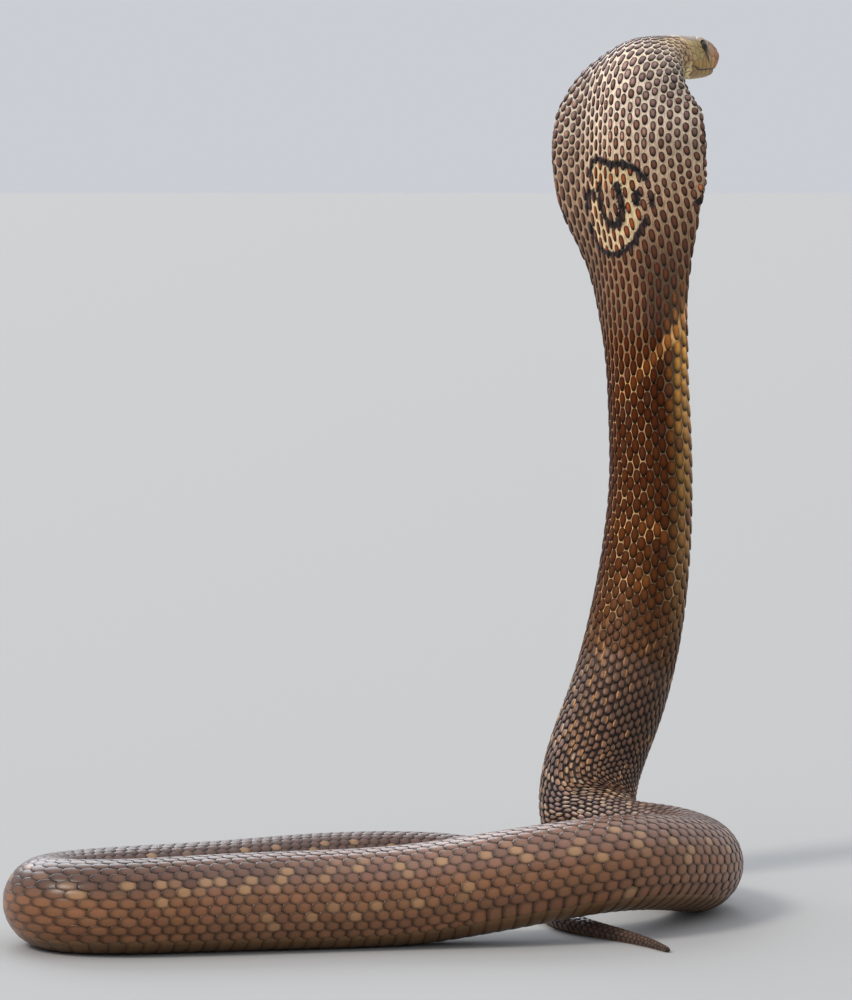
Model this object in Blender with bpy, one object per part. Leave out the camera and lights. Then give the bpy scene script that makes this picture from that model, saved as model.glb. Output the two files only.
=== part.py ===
# A monocled cobra, life size, reared with its hood spread and its body folded on the ground.
# Everything is in metres with +Z up; tables are in millimetres and turned into metres once.
# The body is one sweep along a spine: each station gives a place, a half width, a height above
# and below the spine, the way the back faces, how far the hood is spread, and its edge sweep.
import math

import bmesh
import bpy
import numpy as np
from mathutils import Vector

MM = 0.001
SHIFT = (0.0198, 0.1242, 0.0)        # moves the working frame so the origin is under the middle
CUT_GAP = 0.3                      # mm left open between two neighbouring lengths
FLOOR_SINK = 0.4                   # mm the belly is pressed flat where it rests

# Head sizes, mm; distances run back from the snout tip.
HEAD_LENGTH = 42.0
SNOUT_ROUND = 7.0
TAIL_ROUND = 3.0
HEAD_SQUARE = 0.81                 # 1 is an ellipse, smaller is squarer
HEAD_ROWS = {
    "snout": (0.0, 6.6, 5.6, 7.6),
    "nostril": (5.0, 8.1, 7.7, 8.5),
    "lores": (10.0, 9.2, 9.3, 9.2),
    "eye": (16.0, 10.8, 10.3, 9.8),
    "cheek": (21.0, 12.0, 10.5, 10.3),
    "jaw": (28.0, 13.4, 10.5, 10.6),
    "temple": (34.0, 14.0, 10.4, 10.6),
}
EYE_AT = (18.2, 5.4)               # back from the snout, above the spine
EYE_RADIUS = 3.05
EYE_STANDS_OUT = 1.15
EYE_CLEARANCE = 0.06
NOSTRIL_AT = (3.8, 1.6)
NOSTRIL_RADIUS = 0.95
BROW_HEIGHT = 0.95
BROW_AT = (17.6, 8.8)
SNOUT_TUCK = 2.0                   # how far the snout's lower half is set back
BROW_SPREAD = (4.8, 1.5)
LIP_LEVEL = (-5.4, -5.3, -6.1, -4.3)   # height of the mouth line at the four places below
LIP_PLACES = (0.0, 10.0, 21.0, 30.0)
LIP_GROOVE = 0.55
LIP_SWELL = 0.30
LIP_HALF = 0.75

# Spine stations, mm: x, y, z, half width, above, below, back direction, hood, sweep.
STATIONS = {
    "snout": (137.8, 31.2, 386.0, 7.0, 5.8, 7.6, (0.0, 0.0, 1.0), 0.0, 0.0),
    "mid_head": (123.6, 17.0, 386.1, 12.0, 10.6, 10.3, (0.0, 0.0, 1.0), 0.0, 0.0),
    "skull": (109.3, 2.7, 386.2, 16.2, 10.6, 10.4, (-0.05, -0.05, 1.0), 0.10, 0.5),
    "nape": (101.2, -5.3, 384.2, 26.5, 11.3, 10.2, (-0.25, -0.35, 0.90), 0.50, 3.5),
    "nape_low": (95.0, -11.9, 378.6, 32.0, 12.0, 9.5, (-0.42, -0.58, 0.70), 0.75, 5.5),
    "shoulder": (91.8, -15.6, 370.6, 36.2, 12.3, 9.0, (-0.52, -0.76, 0.40), 0.90, 8.0),
    "hood_top": (90.3, -17.9, 359.5, 41.0, 12.2, 8.5, (-0.54, -0.83, 0.12), 1.0, 10.0),
    "hood_wide": (89.8, -19.0, 343.0, 43.0, 12.2, 8.5, (-0.54, -0.84, 0.0), 1.0, 11.0),
    "hood_mid": (90.9, -17.7, 323.0, 41.8, 12.2, 9.5, (-0.54, -0.84, -0.05), 1.0, 11.0),
    "hood_low": (94.9, -15.5, 304.0, 35.8, 12.8, 11.0, (-0.55, -0.83, -0.08), 0.85, 8.0),
    "hood_end": (99.2, -12.5, 285.5, 28.4, 14.5, 13.5, (-0.55, -0.83, -0.10), 0.50, 4.0),
    "neck_top": (103.0, -9.5, 262.0, 22.8, 17.3, 16.8, (-0.56, -0.83, -0.10), 0.10, 0.0),
    "neck_high": (105.3, -6.3, 228.5, 20.2, 18.8, 18.8, (-0.57, -0.82, -0.05), 0.0, 0.0),
    "neck_mid": (106.7, -4.6, 190.3, 20.3, 19.8, 19.8, (-0.57, -0.82, 0.0), 0.0, 0.0),
    "neck_low": (104.5, -7.5, 152.5, 21.6, 21.2, 21.2, (-0.60, -0.80, 0.05), 0.0, 0.0),
    "foreneck": (98.6, -15.3, 115.1, 23.1, 22.6, 22.6, (-0.66, -0.74, 0.15), 0.0, 0.0),
    "base_high": (87.8, -30.5, 78.6, 23.8, 23.0, 23.0, (-0.72, -0.66, 0.25), 0.0, 0.0),
    "base": (77.5, -44.0, 51.0, 23.9, 22.8, 22.8, (-0.75, -0.50, 0.50), 0.0, 0.0),
    "base_low": (76.5, -60.0, 31.0, 23.2, 22.3, 22.3, (-0.55, -0.30, 0.80), 0.0, 0.0),
    "fold": (87.5, -79.0, 22.5, 22.5, 22.0, 22.0, (-0.20, -0.10, 1.0), 0.0, 0.0),
    "right_back": (105.0, -95.0, 21.6, 22.0, 21.7, 21.7, (0.0, 0.0, 1.0), 0.0, 0.0),
    "right_turn": (117.5, -116.5, 21.4, 22.0, 21.7, 21.7, (0.0, 0.0, 1.0), 0.0, 0.0),
    "right_front": (121.0, -146.0, 22.4, 22.0, 21.6, 21.6, (0.0, 0.0, 1.0), 0.0, 0.0),
    "lift": (106.0, -181.0, 28.0, 21.9, 21.4, 21.4, (0.0, 0.0, 1.0), 0.0, 0.0),
    "arch": (76.0, -214.0, 31.6, 22.0, 21.3, 21.3, (0.0, 0.0, 1.0), 0.0, 0.0),
    "descent": (33.0, -231.0, 27.2, 22.4, 21.9, 21.9, (0.0, 0.0, 1.0), 0.0, 0.0),
    "front": (-11.0, -238.0, 21.8, 22.6, 22.1, 22.1, (0.0, 0.0, 1.0), 0.0, 0.0),
    "front_mid": (-75.0, -251.0, 21.0, 22.0, 21.5, 21.5, (0.0, 0.0, 1.0), 0.0, 0.0),
    "front_left": (-118.0, -259.5, 20.5, 21.3, 20.9, 20.9, (0.0, 0.0, 1.0), 0.0, 0.0),
    "left_in": (-138.5, -261.0, 20.3, 21.0, 20.7, 20.7, (0.0, 0.0, 1.0), 0.0, 0.0),
    "left_turn": (-155.5, -254.0, 20.0, 20.8, 20.4, 20.4, (0.0, 0.0, 1.0), 0.0, 0.0),
    "left_end": (-162.5, -237.0, 19.6, 20.4, 20.0, 20.0, (0.0, 0.0, 1.0), 0.0, 0.0),
    "left_out": (-155.0, -219.5, 19.2, 20.0, 19.6, 19.6, (0.0, 0.0, 1.0), 0.0, 0.0),
    "back_left": (-99.0, -173.5, 18.0, 18.7, 18.4, 18.4, (0.0, 0.0, 1.0), 0.0, 0.0),
    "back_mid": (-56.0, -135.0, 17.1, 17.8, 17.5, 17.5, (0.0, 0.0, 1.0), 0.0, 0.0),
    "back_right": (-14.0, -107.0, 15.9, 16.6, 16.3, 16.3, (0.0, 0.0, 1.0), 0.0, 0.0),
    "vent": (18.0, -102.0, 14.5, 15.2, 14.9, 14.9, (0.0, 0.0, 1.0), 0.0, 0.0),
    "tail_root": (40.0, -115.0, 12.4, 13.0, 12.8, 12.8, (0.0, 0.0, 1.0), 0.0, 0.0),
    "tail_turn": (53.0, -140.0, 9.6, 10.0, 9.9, 9.9, (0.0, 0.0, 1.0), 0.0, 0.0),
    "tail_mid": (55.5, -170.0, 7.1, 7.4, 7.3, 7.3, (0.0, 0.0, 1.0), 0.0, 0.0),
    "tail_under": (60.0, -196.0, 5.1, 5.4, 5.3, 5.3, (0.0, 0.0, 1.0), 0.0, 0.0),
    "tail_cross": (71.0, -214.0, 4.0, 4.2, 4.1, 4.1, (0.0, 0.0, 1.0), 0.0, 0.0),
    "tail_front": (86.0, -231.0, 3.0, 3.1, 3.1, 3.1, (0.0, 0.0, 1.0), 0.0, 0.0),
    "tail_end": (98.0, -249.0, 2.1, 2.1, 2.1, 2.1, (0.0, 0.0, 1.0), 0.0, 0.0),
    "tail_tip": (104.0, -261.0, 1.4, 1.3, 1.3, 1.3, (0.0, 0.0, 1.0), 0.0, 0.0),
}
HOOD_CORE = 17.0                   # mm to each side that stay thick when the hood is spread
HOOD_EDGE = 0.36                   # thickness of the spread part beside that of the middle

# Lengths of the body: where each starts, how long its rings are apart, and how many sides.
LENGTHS = {
    "head": ("snout", 1.6, 44),
    "hood": (46.0, 4.2, 40),
    "neck_upper": ("neck_top", 9.0, 26),
    "neck_lower": ("neck_low", 8.5, 26),
    "base": ("base_high", 6.0, 26),
    "right_bend": ("right_back", 7.5, 24),
    "front_right": ("lift", 9.0, 24),
    "front_left": ("front", 10.0, 24),
    "left_bend": ("left_in", 6.0, 24),
    "back_left": ("left_out", 10.0, 22),
    "back_right": ("back_mid", 10.0, 20),
    "tail_root": ("vent", 7.0, 18),
    "tail_middle": ("tail_mid", 6.5, 16),
    "tail_end": ("tail_cross", 5.0, 12),
}
COLOURS = {
    "head": (0.42, 0.27, 0.15),
    "hood": (0.30, 0.21, 0.15),
    "neck": (0.17, 0.10, 0.07),
    "body": (0.16, 0.11, 0.09),
    "tail": (0.11, 0.09, 0.08),
    "eye": (0.02, 0.02, 0.02),
}
SPINE_SAMPLES = 4000


def naturalSpline(knots, values, wanted):
    # Cubic pieces through the values with no jump in slope or bend; straight at both ends.
    count = len(knots)
    step = np.diff(knots)
    system = np.eye(count)
    right = np.zeros(values.shape)
    for row in range(1, count - 1):
        system[row, row - 1] = step[row - 1]
        system[row, row] = 2.0 * (step[row - 1] + step[row])
        system[row, row + 1] = step[row]
        rise = (values[row + 1] - values[row]) / step[row]
        before = (values[row] - values[row - 1]) / step[row - 1]
        right[row] = 3.0 * (rise - before)
    bend = np.linalg.solve(system, right)
    span = step[:, None]
    slope = (values[1:] - values[:-1]) / span - span * (2.0 * bend[:-1] + bend[1:]) / 3.0
    cubic = (bend[1:] - bend[:-1]) / (3.0 * span)
    piece = np.clip(np.searchsorted(knots, wanted, side="right") - 1, 0, count - 2)
    along = (wanted - knots[piece])[:, None]
    return values[piece] + along * (slope[piece] + along * (bend[piece] + along * cubic[piece]))


def gentleCurve(knots, values, wanted):
    # Cubic pieces that never overshoot: each knot's slope is the harmonic mean of its sides.
    step = np.diff(knots)[:, None]
    rise = np.diff(values, axis=0) / step
    slope = np.zeros(values.shape)
    product = rise[:-1] * rise[1:]
    mean = 2.0 * product / np.where(product > 0.0, rise[:-1] + rise[1:], 1.0)
    slope[1:-1] = np.where(product > 0.0, mean, 0.0)
    slope[0] = rise[0]
    slope[-1] = rise[-1]
    piece = np.clip(np.searchsorted(knots, wanted, side="right") - 1, 0, len(knots) - 2)
    width = step[piece]
    u = (wanted - knots[piece])[:, None] / width
    low = values[piece]
    high = values[piece + 1]
    ease = u * u * (3.0 - 2.0 * u)
    start = width * slope[piece] * u * (1.0 - u) ** 2
    end = width * slope[piece + 1] * u * u * (u - 1.0)
    return low + (high - low) * ease + start + end


def unit(vectors):
    return vectors / np.linalg.norm(vectors, axis=-1, keepdims=True)


def traceSpine():
    # The spine, its length from the snout, and the length at which each station lies.
    places = np.array([row[:3] for row in STATIONS.values()])
    chord = np.concatenate([[0.0], np.cumsum(np.linalg.norm(np.diff(places, axis=0), axis=1))])
    fine = np.linspace(0.0, chord[-1], SPINE_SAMPLES)
    points = naturalSpline(chord, places, fine)
    steps = np.linalg.norm(np.diff(points, axis=0), axis=1)
    length = np.concatenate([[0.0], np.cumsum(steps)])
    marks = np.interp(chord, fine, length)
    return points, length, dict(zip(STATIONS, marks))


SPINE, SPINE_LENGTH, MARKS = traceSpine()
TOTAL = SPINE_LENGTH[-1]


def sectionValues(lengths):
    # Half width, heights, back direction, hood and sweep at these lengths from the snout.
    rows = []
    for row in HEAD_ROWS.values():
        rows.append((row[0], row[1], row[2], row[3], 0.0, 0.0, 1.0, 0.0, 0.0))
    for name, row in STATIONS.items():
        if MARKS[name] > HEAD_LENGTH - 2.0:
            rows.append((MARKS[name], row[3], row[4], row[5], *row[6], row[7], row[8]))
    table = np.array(rows)
    return gentleCurve(table[:, 0], table[:, 1:], lengths)


def frameAt(lengths):
    # Centre, direction towards the tail, back direction and left-hand direction.
    centre = np.stack([np.interp(lengths, SPINE_LENGTH, SPINE[:, axis]) for axis in range(3)], 1)
    ahead = np.clip(lengths + 1.0, 0.0, TOTAL)
    behind = np.clip(lengths - 1.0, 0.0, TOTAL)
    front = np.stack([np.interp(ahead, SPINE_LENGTH, SPINE[:, axis]) for axis in range(3)], 1)
    rear = np.stack([np.interp(behind, SPINE_LENGTH, SPINE[:, axis]) for axis in range(3)], 1)
    along = unit(front - rear)
    values = sectionValues(lengths)
    back = values[:, 3:6]
    back = unit(back - (back * along).sum(1, keepdims=True) * along)
    side = np.cross(along, back)
    return centre, along, back, side, values


def bump(value, middle, spread):
    return np.exp(-((value - middle) / spread) ** 2)


def fade(value, start, end):
    # 0 before start, 1 after end, smooth between.
    u = np.clip((value - start) / (end - start), 0.0, 1.0)
    return u * u * (3.0 - 2.0 * u)


def sweepPoints(lengths, turns):
    # Surface points for lengths (n) and turns (n, m); a turn of 0 is the middle of the back
    # and half a turn the middle of the belly, going round by the animal's left-hand side.
    centre, along, back, side, values = frameAt(lengths)
    width, above, below = (values[:, column, None] for column in range(3))
    hood = values[:, 6, None]
    sweep = values[:, 7, None]
    reach = lengths[:, None]
    snout = np.sqrt(1.0 - (1.0 - np.clip(reach / SNOUT_ROUND, 0.0, 1.0)) ** 2)
    tip = np.sqrt(1.0 - (1.0 - np.clip((TOTAL - reach) / TAIL_ROUND, 0.0, 1.0)) ** 2)
    close = snout * tip
    square = HEAD_SQUARE + (1.0 - HEAD_SQUARE) * fade(reach, 30.0, 52.0)
    angle = 2.0 * math.pi * turns
    across = np.sign(np.sin(angle)) * np.abs(np.sin(angle)) ** square
    upward = np.sign(np.cos(angle)) * np.abs(np.cos(angle)) ** square
    core = np.exp(-(across * width / HOOD_CORE) ** 2)
    thick = 1.0 - hood + hood * (core + (1.0 - core) * HOOD_EDGE)
    height = upward * np.where(upward > 0.0, above, below) * thick * close
    height = height - sweep * across ** 2
    lateral = across * width * close
    lateral, height = headForms(reach, lateral, height)
    tuck = SNOUT_TUCK * fade(-height, 0.0, 4.5) * (1.0 - fade(reach, 4.0, 14.0))
    points = centre[:, None] + side[:, None] * lateral[..., None] + back[:, None] * height[..., None]
    points = points + along[:, None] * tuck[..., None]
    points[..., 2] = np.maximum(points[..., 2], FLOOR_SINK) - FLOOR_SINK
    return points


def lipLine(reach):
    # Height of the mouth line above the spine, back from the snout.
    return np.interp(reach, LIP_PLACES, LIP_LEVEL)


def headForms(reach, lateral, height):
    # Pushes the head's surface out for lips and brows and in for the mouth line.
    size = np.hypot(lateral, height) + 1e-6
    mouth = 1.0 - fade(reach, 27.0, 31.0)
    off = height - lipLine(reach)
    groove = -LIP_GROOVE * bump(off, 0.0, 0.45) * mouth
    upper = LIP_SWELL * bump(off, 1.7, 1.1) * mouth
    lower = 0.7 * LIP_SWELL * bump(off, -1.6, 1.1) * mouth
    onside = fade(np.abs(lateral), 2.0, 5.0)
    brow = BROW_HEIGHT * bump(reach, BROW_AT[0], BROW_SPREAD[0]) * bump(height, BROW_AT[1], BROW_SPREAD[1])
    hollow = -0.45 * bump(reach, 6.5, 2.6) * bump(height, 4.6, 2.2)
    jowl = 0.5 * bump(reach, 29.0, 5.0) * bump(height, -1.0, 4.0)
    push = groove + upper + lower + onside * (brow + hollow + jowl)
    return lateral + push * lateral / size, height + push * height / size


def turnRows(lengths, sides):
    # Even turns; on the head one row on each side is laid along the mouth line.
    even = np.arange(sides) / sides
    turns = np.tile(even, (len(lengths), 1))
    if lengths[0] > 1.0:
        return turns
    half = sides // 2
    values = sectionValues(lengths)
    below = values[:, 2] * np.sqrt(1.0 - (1.0 - np.clip(lengths / SNOUT_ROUND, 0.02, 1.0)) ** 2)
    drop = np.clip(-lipLine(lengths) / below, 0.0, 0.96) ** (1.0 / HEAD_SQUARE)
    mouth = 0.25 + np.arcsin(drop) / (2.0 * math.pi)
    row = int(round(0.32 * sides))
    gap = LIP_HALF / (2.0 * math.pi * 0.5 * (values[:, 0] + values[:, 2]))
    upper = np.linspace(0.0, 1.0, row)[None] * (mouth - gap)[:, None]
    lower_steps = np.linspace(0.0, 1.0, half - row)[None]
    lower = (mouth + gap)[:, None] + lower_steps * (0.5 - mouth - gap)[:, None]
    one_side = np.concatenate([upper, mouth[:, None], lower], 1)
    turns[:, :half + 1] = one_side
    turns[:, half + 1:] = 1.0 - one_side[:, half - 1:0:-1]
    return turns


def place(points):
    # From the working frame in millimetres to the handed-in frame in metres.
    return points * MM + np.array(SHIFT)


def material(name, colour, roughness):
    made = bpy.data.materials.new(name)
    made.use_nodes = True
    shader = made.node_tree.nodes["Principled BSDF"]
    shader.inputs["Base Color"].default_value = (*colour, 1.0)
    shader.inputs["Roughness"].default_value = roughness
    return made


def addObject(name, vertices, faces, colour, roughness):
    mesh = bpy.data.meshes.new(name)
    mesh.from_pydata([tuple(vertex) for vertex in vertices], [], faces)
    mesh.update()
    made = bpy.data.objects.new(name, mesh)
    bpy.context.scene.collection.objects.link(made)
    if colour is not None:
        mesh.materials.append(material("mat_" + name, colour, roughness))
    return made


def ringFaces(rings, sides):
    # Quads between rings, then a fan at each end round a middle vertex.
    faces = []
    for ring in range(rings - 1):
        for side in range(sides):
            after = (side + 1) % sides
            here = ring * sides
            there = here + sides
            faces.append((here + side, here + after, there + after, there + side))
    first = rings * sides
    last = (rings - 1) * sides
    for side in range(sides):
        after = (side + 1) % sides
        faces.append((first, after, side))
        faces.append((first + 1, last + side, last + after))
    return faces


def ringLengths(name, start, end, spacing):
    if name == "head":
        close = 8.0 * (1.0 - np.cos(np.linspace(0.12, 1.0, 9) * math.pi / 2.0))
        rest = np.arange(close[-1] + 1.2, 20.0, 1.2)
        far = np.linspace(rest[-1] + 1.5, end, int((end - rest[-1]) / spacing) + 1)
        return np.concatenate([close, rest, far])
    if end == TOTAL:
        near = end - 2.0
        body = np.linspace(start, near, int((near - start) / spacing) + 1)
        return np.concatenate([body, [end - 1.2, end - 0.5, end - 0.12]])
    return np.linspace(start, end, int(round((end - start) / spacing)) + 1)


def lengthObject(name, start, end, spacing, sides, colour):
    lengths = ringLengths(name, start, end, spacing)
    rings = sweepPoints(lengths, turnRows(lengths, sides))
    head_cap = rings[0].mean(0)
    tail_cap = rings[-1].mean(0)
    if name == "head":
        head_cap = sweepPoints(np.array([0.0]), np.zeros((1, 1)))[0, 0]
    if end == TOTAL:
        tail_cap = sweepPoints(np.array([end]), np.zeros((1, 1)))[0, 0]
    vertices = place(np.concatenate([rings.reshape(-1, 3), [head_cap, tail_cap]]))
    made = addObject(name, vertices, ringFaces(len(lengths), sides), colour, 0.45)
    outwardFaces(made)
    return made


def outwardFaces(made):
    shape = bmesh.new()
    shape.from_mesh(made.data)
    bmesh.ops.recalc_face_normals(shape, faces=shape.faces)
    if shape.calc_volume(signed=True) < 0.0:
        bmesh.ops.reverse_faces(shape, faces=shape.faces)
    shape.to_mesh(made.data)
    shape.free()
    made.data.shade_smooth()


def ballShape(radius, columns, rows):
    # A ball whose poles lie on its own z axis.
    around = 2.0 * math.pi * np.arange(columns) / columns
    down = math.pi * np.arange(1, rows) / rows
    x = np.sin(down)[:, None] * np.cos(around)
    y = np.sin(down)[:, None] * np.sin(around)
    z = np.cos(down)[:, None] + 0.0 * around
    rings = radius * np.stack([x, y, z], -1).reshape(-1, 3)
    ends = radius * np.array([[0.0, 0.0, 1.0], [0.0, 0.0, -1.0]])
    return np.concatenate([rings, ends]), ringFaces(rows - 1, columns)


def headPoint(reach, height, side):
    # The point on the head's side at this distance from the snout and this height.
    turns = np.linspace(0.03, 0.47, 400)[None]
    if side < 0:
        turns = 1.0 - turns
    length = np.array([reach])
    points = sweepPoints(length, turns)[0]
    centre, along, back, left, values = frameAt(length)
    level = (points - centre) @ back[0]
    best = np.argmin(np.abs(level - height))
    outward = left[0] * side
    nearby = points[min(best + 6, 399)] - points[max(best - 6, 0)]
    normal = unit(np.cross(nearby, along[0]))
    if normal @ outward < 0.0:
        normal = -normal
    return points[best], normal, along[0]


def turnedBall(name, centre, normal, radius, stretch, columns, rows, colour):
    ball, faces = ballShape(radius, columns, rows)
    turn = Vector(normal).to_track_quat("Z", "Y").to_matrix()
    turned = (ball * np.array(stretch)) @ np.array(turn).T
    made = addObject(name, place(turned + centre), faces, colour, 0.12)
    outwardFaces(made)
    return made


def cutAway(target, tool):
    tool.hide_render = True
    tool.display_type = "WIRE"
    change = target.modifiers.new("cut_" + tool.name, "BOOLEAN")
    change.operation = "DIFFERENCE"
    change.solver = "EXACT"
    change.object = tool
    bpy.context.view_layer.update()
    graph = bpy.context.evaluated_depsgraph_get()
    cut = bpy.data.meshes.new_from_object(target.evaluated_get(graph))
    target.modifiers.clear()
    target.data = cut
    bpy.data.objects.remove(tool)


def keepLargest(made):
    # Only the largest closed surface stays after a cut.
    shape = bmesh.new()
    shape.from_mesh(made.data)
    shape.faces.ensure_lookup_table()
    left = set(shape.faces)
    groups = []
    while left:
        group = {left.pop()}
        edge = list(group)
        while edge:
            near = {other for face in edge for line in face.edges for other in line.link_faces}
            edge = list(near & left)
            group.update(edge)
            left.difference_update(edge)
        groups.append(group)
    largest = max(groups, key=len)
    spare = [face for group in groups if group is not largest for face in group]
    bmesh.ops.delete(shape, geom=spare, context="FACES")
    bmesh.ops.triangulate(shape, faces=shape.faces)
    shape.to_mesh(made.data)
    shape.free()
    made.data.shade_smooth()


def addEyes(head):
    for name, side in (("eye_left", 1), ("eye_right", -1)):
        surface, normal, along = headPoint(EYE_AT[0], EYE_AT[1], side)
        centre = surface - normal * (EYE_RADIUS - EYE_STANDS_OUT)
        room = turnedBall("room", centre, normal, EYE_RADIUS + EYE_CLEARANCE, (1, 1, 1), 20, 12, None)
        cutAway(head, room)
        turnedBall(name, centre, normal, EYE_RADIUS, (1, 1, 1), 20, 12, COLOURS["eye"])


def addNostrils(head):
    for side in (1, -1):
        surface, normal, along = headPoint(NOSTRIL_AT[0], NOSTRIL_AT[1], side)
        pit = turnedBall("pit", surface, normal, NOSTRIL_RADIUS, (1.0, 0.75, 1.1), 12, 8, None)
        cutAway(head, pit)


def build():
    for old in list(bpy.data.objects):
        bpy.data.objects.remove(old)
    names = list(LENGTHS)
    starts = []
    for first, spacing, sides in LENGTHS.values():
        starts.append(MARKS[first] if isinstance(first, str) else first)
    ends = starts[1:] + [TOTAL]
    for index, name in enumerate(names):
        first, spacing, sides = LENGTHS[name]
        start = starts[index] + (CUT_GAP / 2.0 if index else 0.0)
        end = ends[index] - (CUT_GAP / 2.0 if index < len(names) - 1 else 0.0)
        group = name.split("_")[0]
        colour = COLOURS.get(group, COLOURS["body"])
        made = lengthObject(name, start, end, spacing, sides, colour)
        if name == "head":
            addEyes(made)
            addNostrils(made)
            keepLargest(made)


build()
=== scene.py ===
import bpy
import math
import numpy as np
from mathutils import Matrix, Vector


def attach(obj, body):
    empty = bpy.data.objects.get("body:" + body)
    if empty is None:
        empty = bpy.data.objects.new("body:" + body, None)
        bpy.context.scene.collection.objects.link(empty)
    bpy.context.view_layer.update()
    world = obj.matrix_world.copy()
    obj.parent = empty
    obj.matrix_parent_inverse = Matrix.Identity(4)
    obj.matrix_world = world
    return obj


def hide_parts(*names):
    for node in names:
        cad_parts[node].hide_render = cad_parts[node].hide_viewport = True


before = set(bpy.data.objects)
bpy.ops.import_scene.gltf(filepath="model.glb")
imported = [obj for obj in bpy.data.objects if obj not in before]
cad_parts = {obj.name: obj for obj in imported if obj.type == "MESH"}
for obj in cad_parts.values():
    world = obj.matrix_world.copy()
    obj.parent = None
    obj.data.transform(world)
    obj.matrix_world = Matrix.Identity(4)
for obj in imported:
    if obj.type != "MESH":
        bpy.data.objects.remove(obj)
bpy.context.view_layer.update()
print("frame loaded")

# The camera stands 2.4 metres from the neck, behind a long lens, and looks slightly down.
view = {
    "place": (0.0198, -2.2758, 0.342),  # metres
    "down": 3.962,  # degrees below level
    "lens": 181.9,
    "clip": (0.05, 40.0),  # metres, near and far
}


def addCamera():
    lens = bpy.data.cameras.new("photoView")
    lens.lens = view["lens"]
    lens.clip_start, lens.clip_end = view["clip"]
    camera = bpy.data.objects.new("photoView", lens)
    camera.location = view["place"]
    camera.rotation_euler = (math.radians(90.0 - view["down"]), 0.0, 0.0)
    bpy.context.scene.collection.objects.link(camera)
    bpy.context.scene.camera = camera


addCamera()

# The spine and the shape of the body round it, in millimetres, the same as the solids.
body = {
    "shift": (0.0198, 0.1242, 0.0),  # metres from the working place to the frame
    "floorSink": 0.4,
    "headLength": 42.0,
    "snoutRound": 7.0,
    "tailRound": 3.0,
    "headSquare": 0.81,
    "hoodCore": 17.0,
    "hoodEdge": 0.36,
    "samples": 4000,
    "coat": 0.85,  # how deep the scales lie where the body is thick
}
headRows = {  # back from the snout, half width, above and below the spine
    "snout": (0.0, 6.6, 5.6, 7.6),
    "nostril": (5.0, 8.1, 7.7, 8.5),
    "lores": (10.0, 9.2, 9.3, 9.2),
    "eye": (16.0, 10.8, 10.3, 9.8),
    "cheek": (21.0, 12.0, 10.5, 10.3),
    "jaw": (28.0, 13.4, 10.5, 10.6),
    "temple": (34.0, 14.0, 10.4, 10.6),
}
up = (0.0, 0.0, 1.0)
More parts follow.
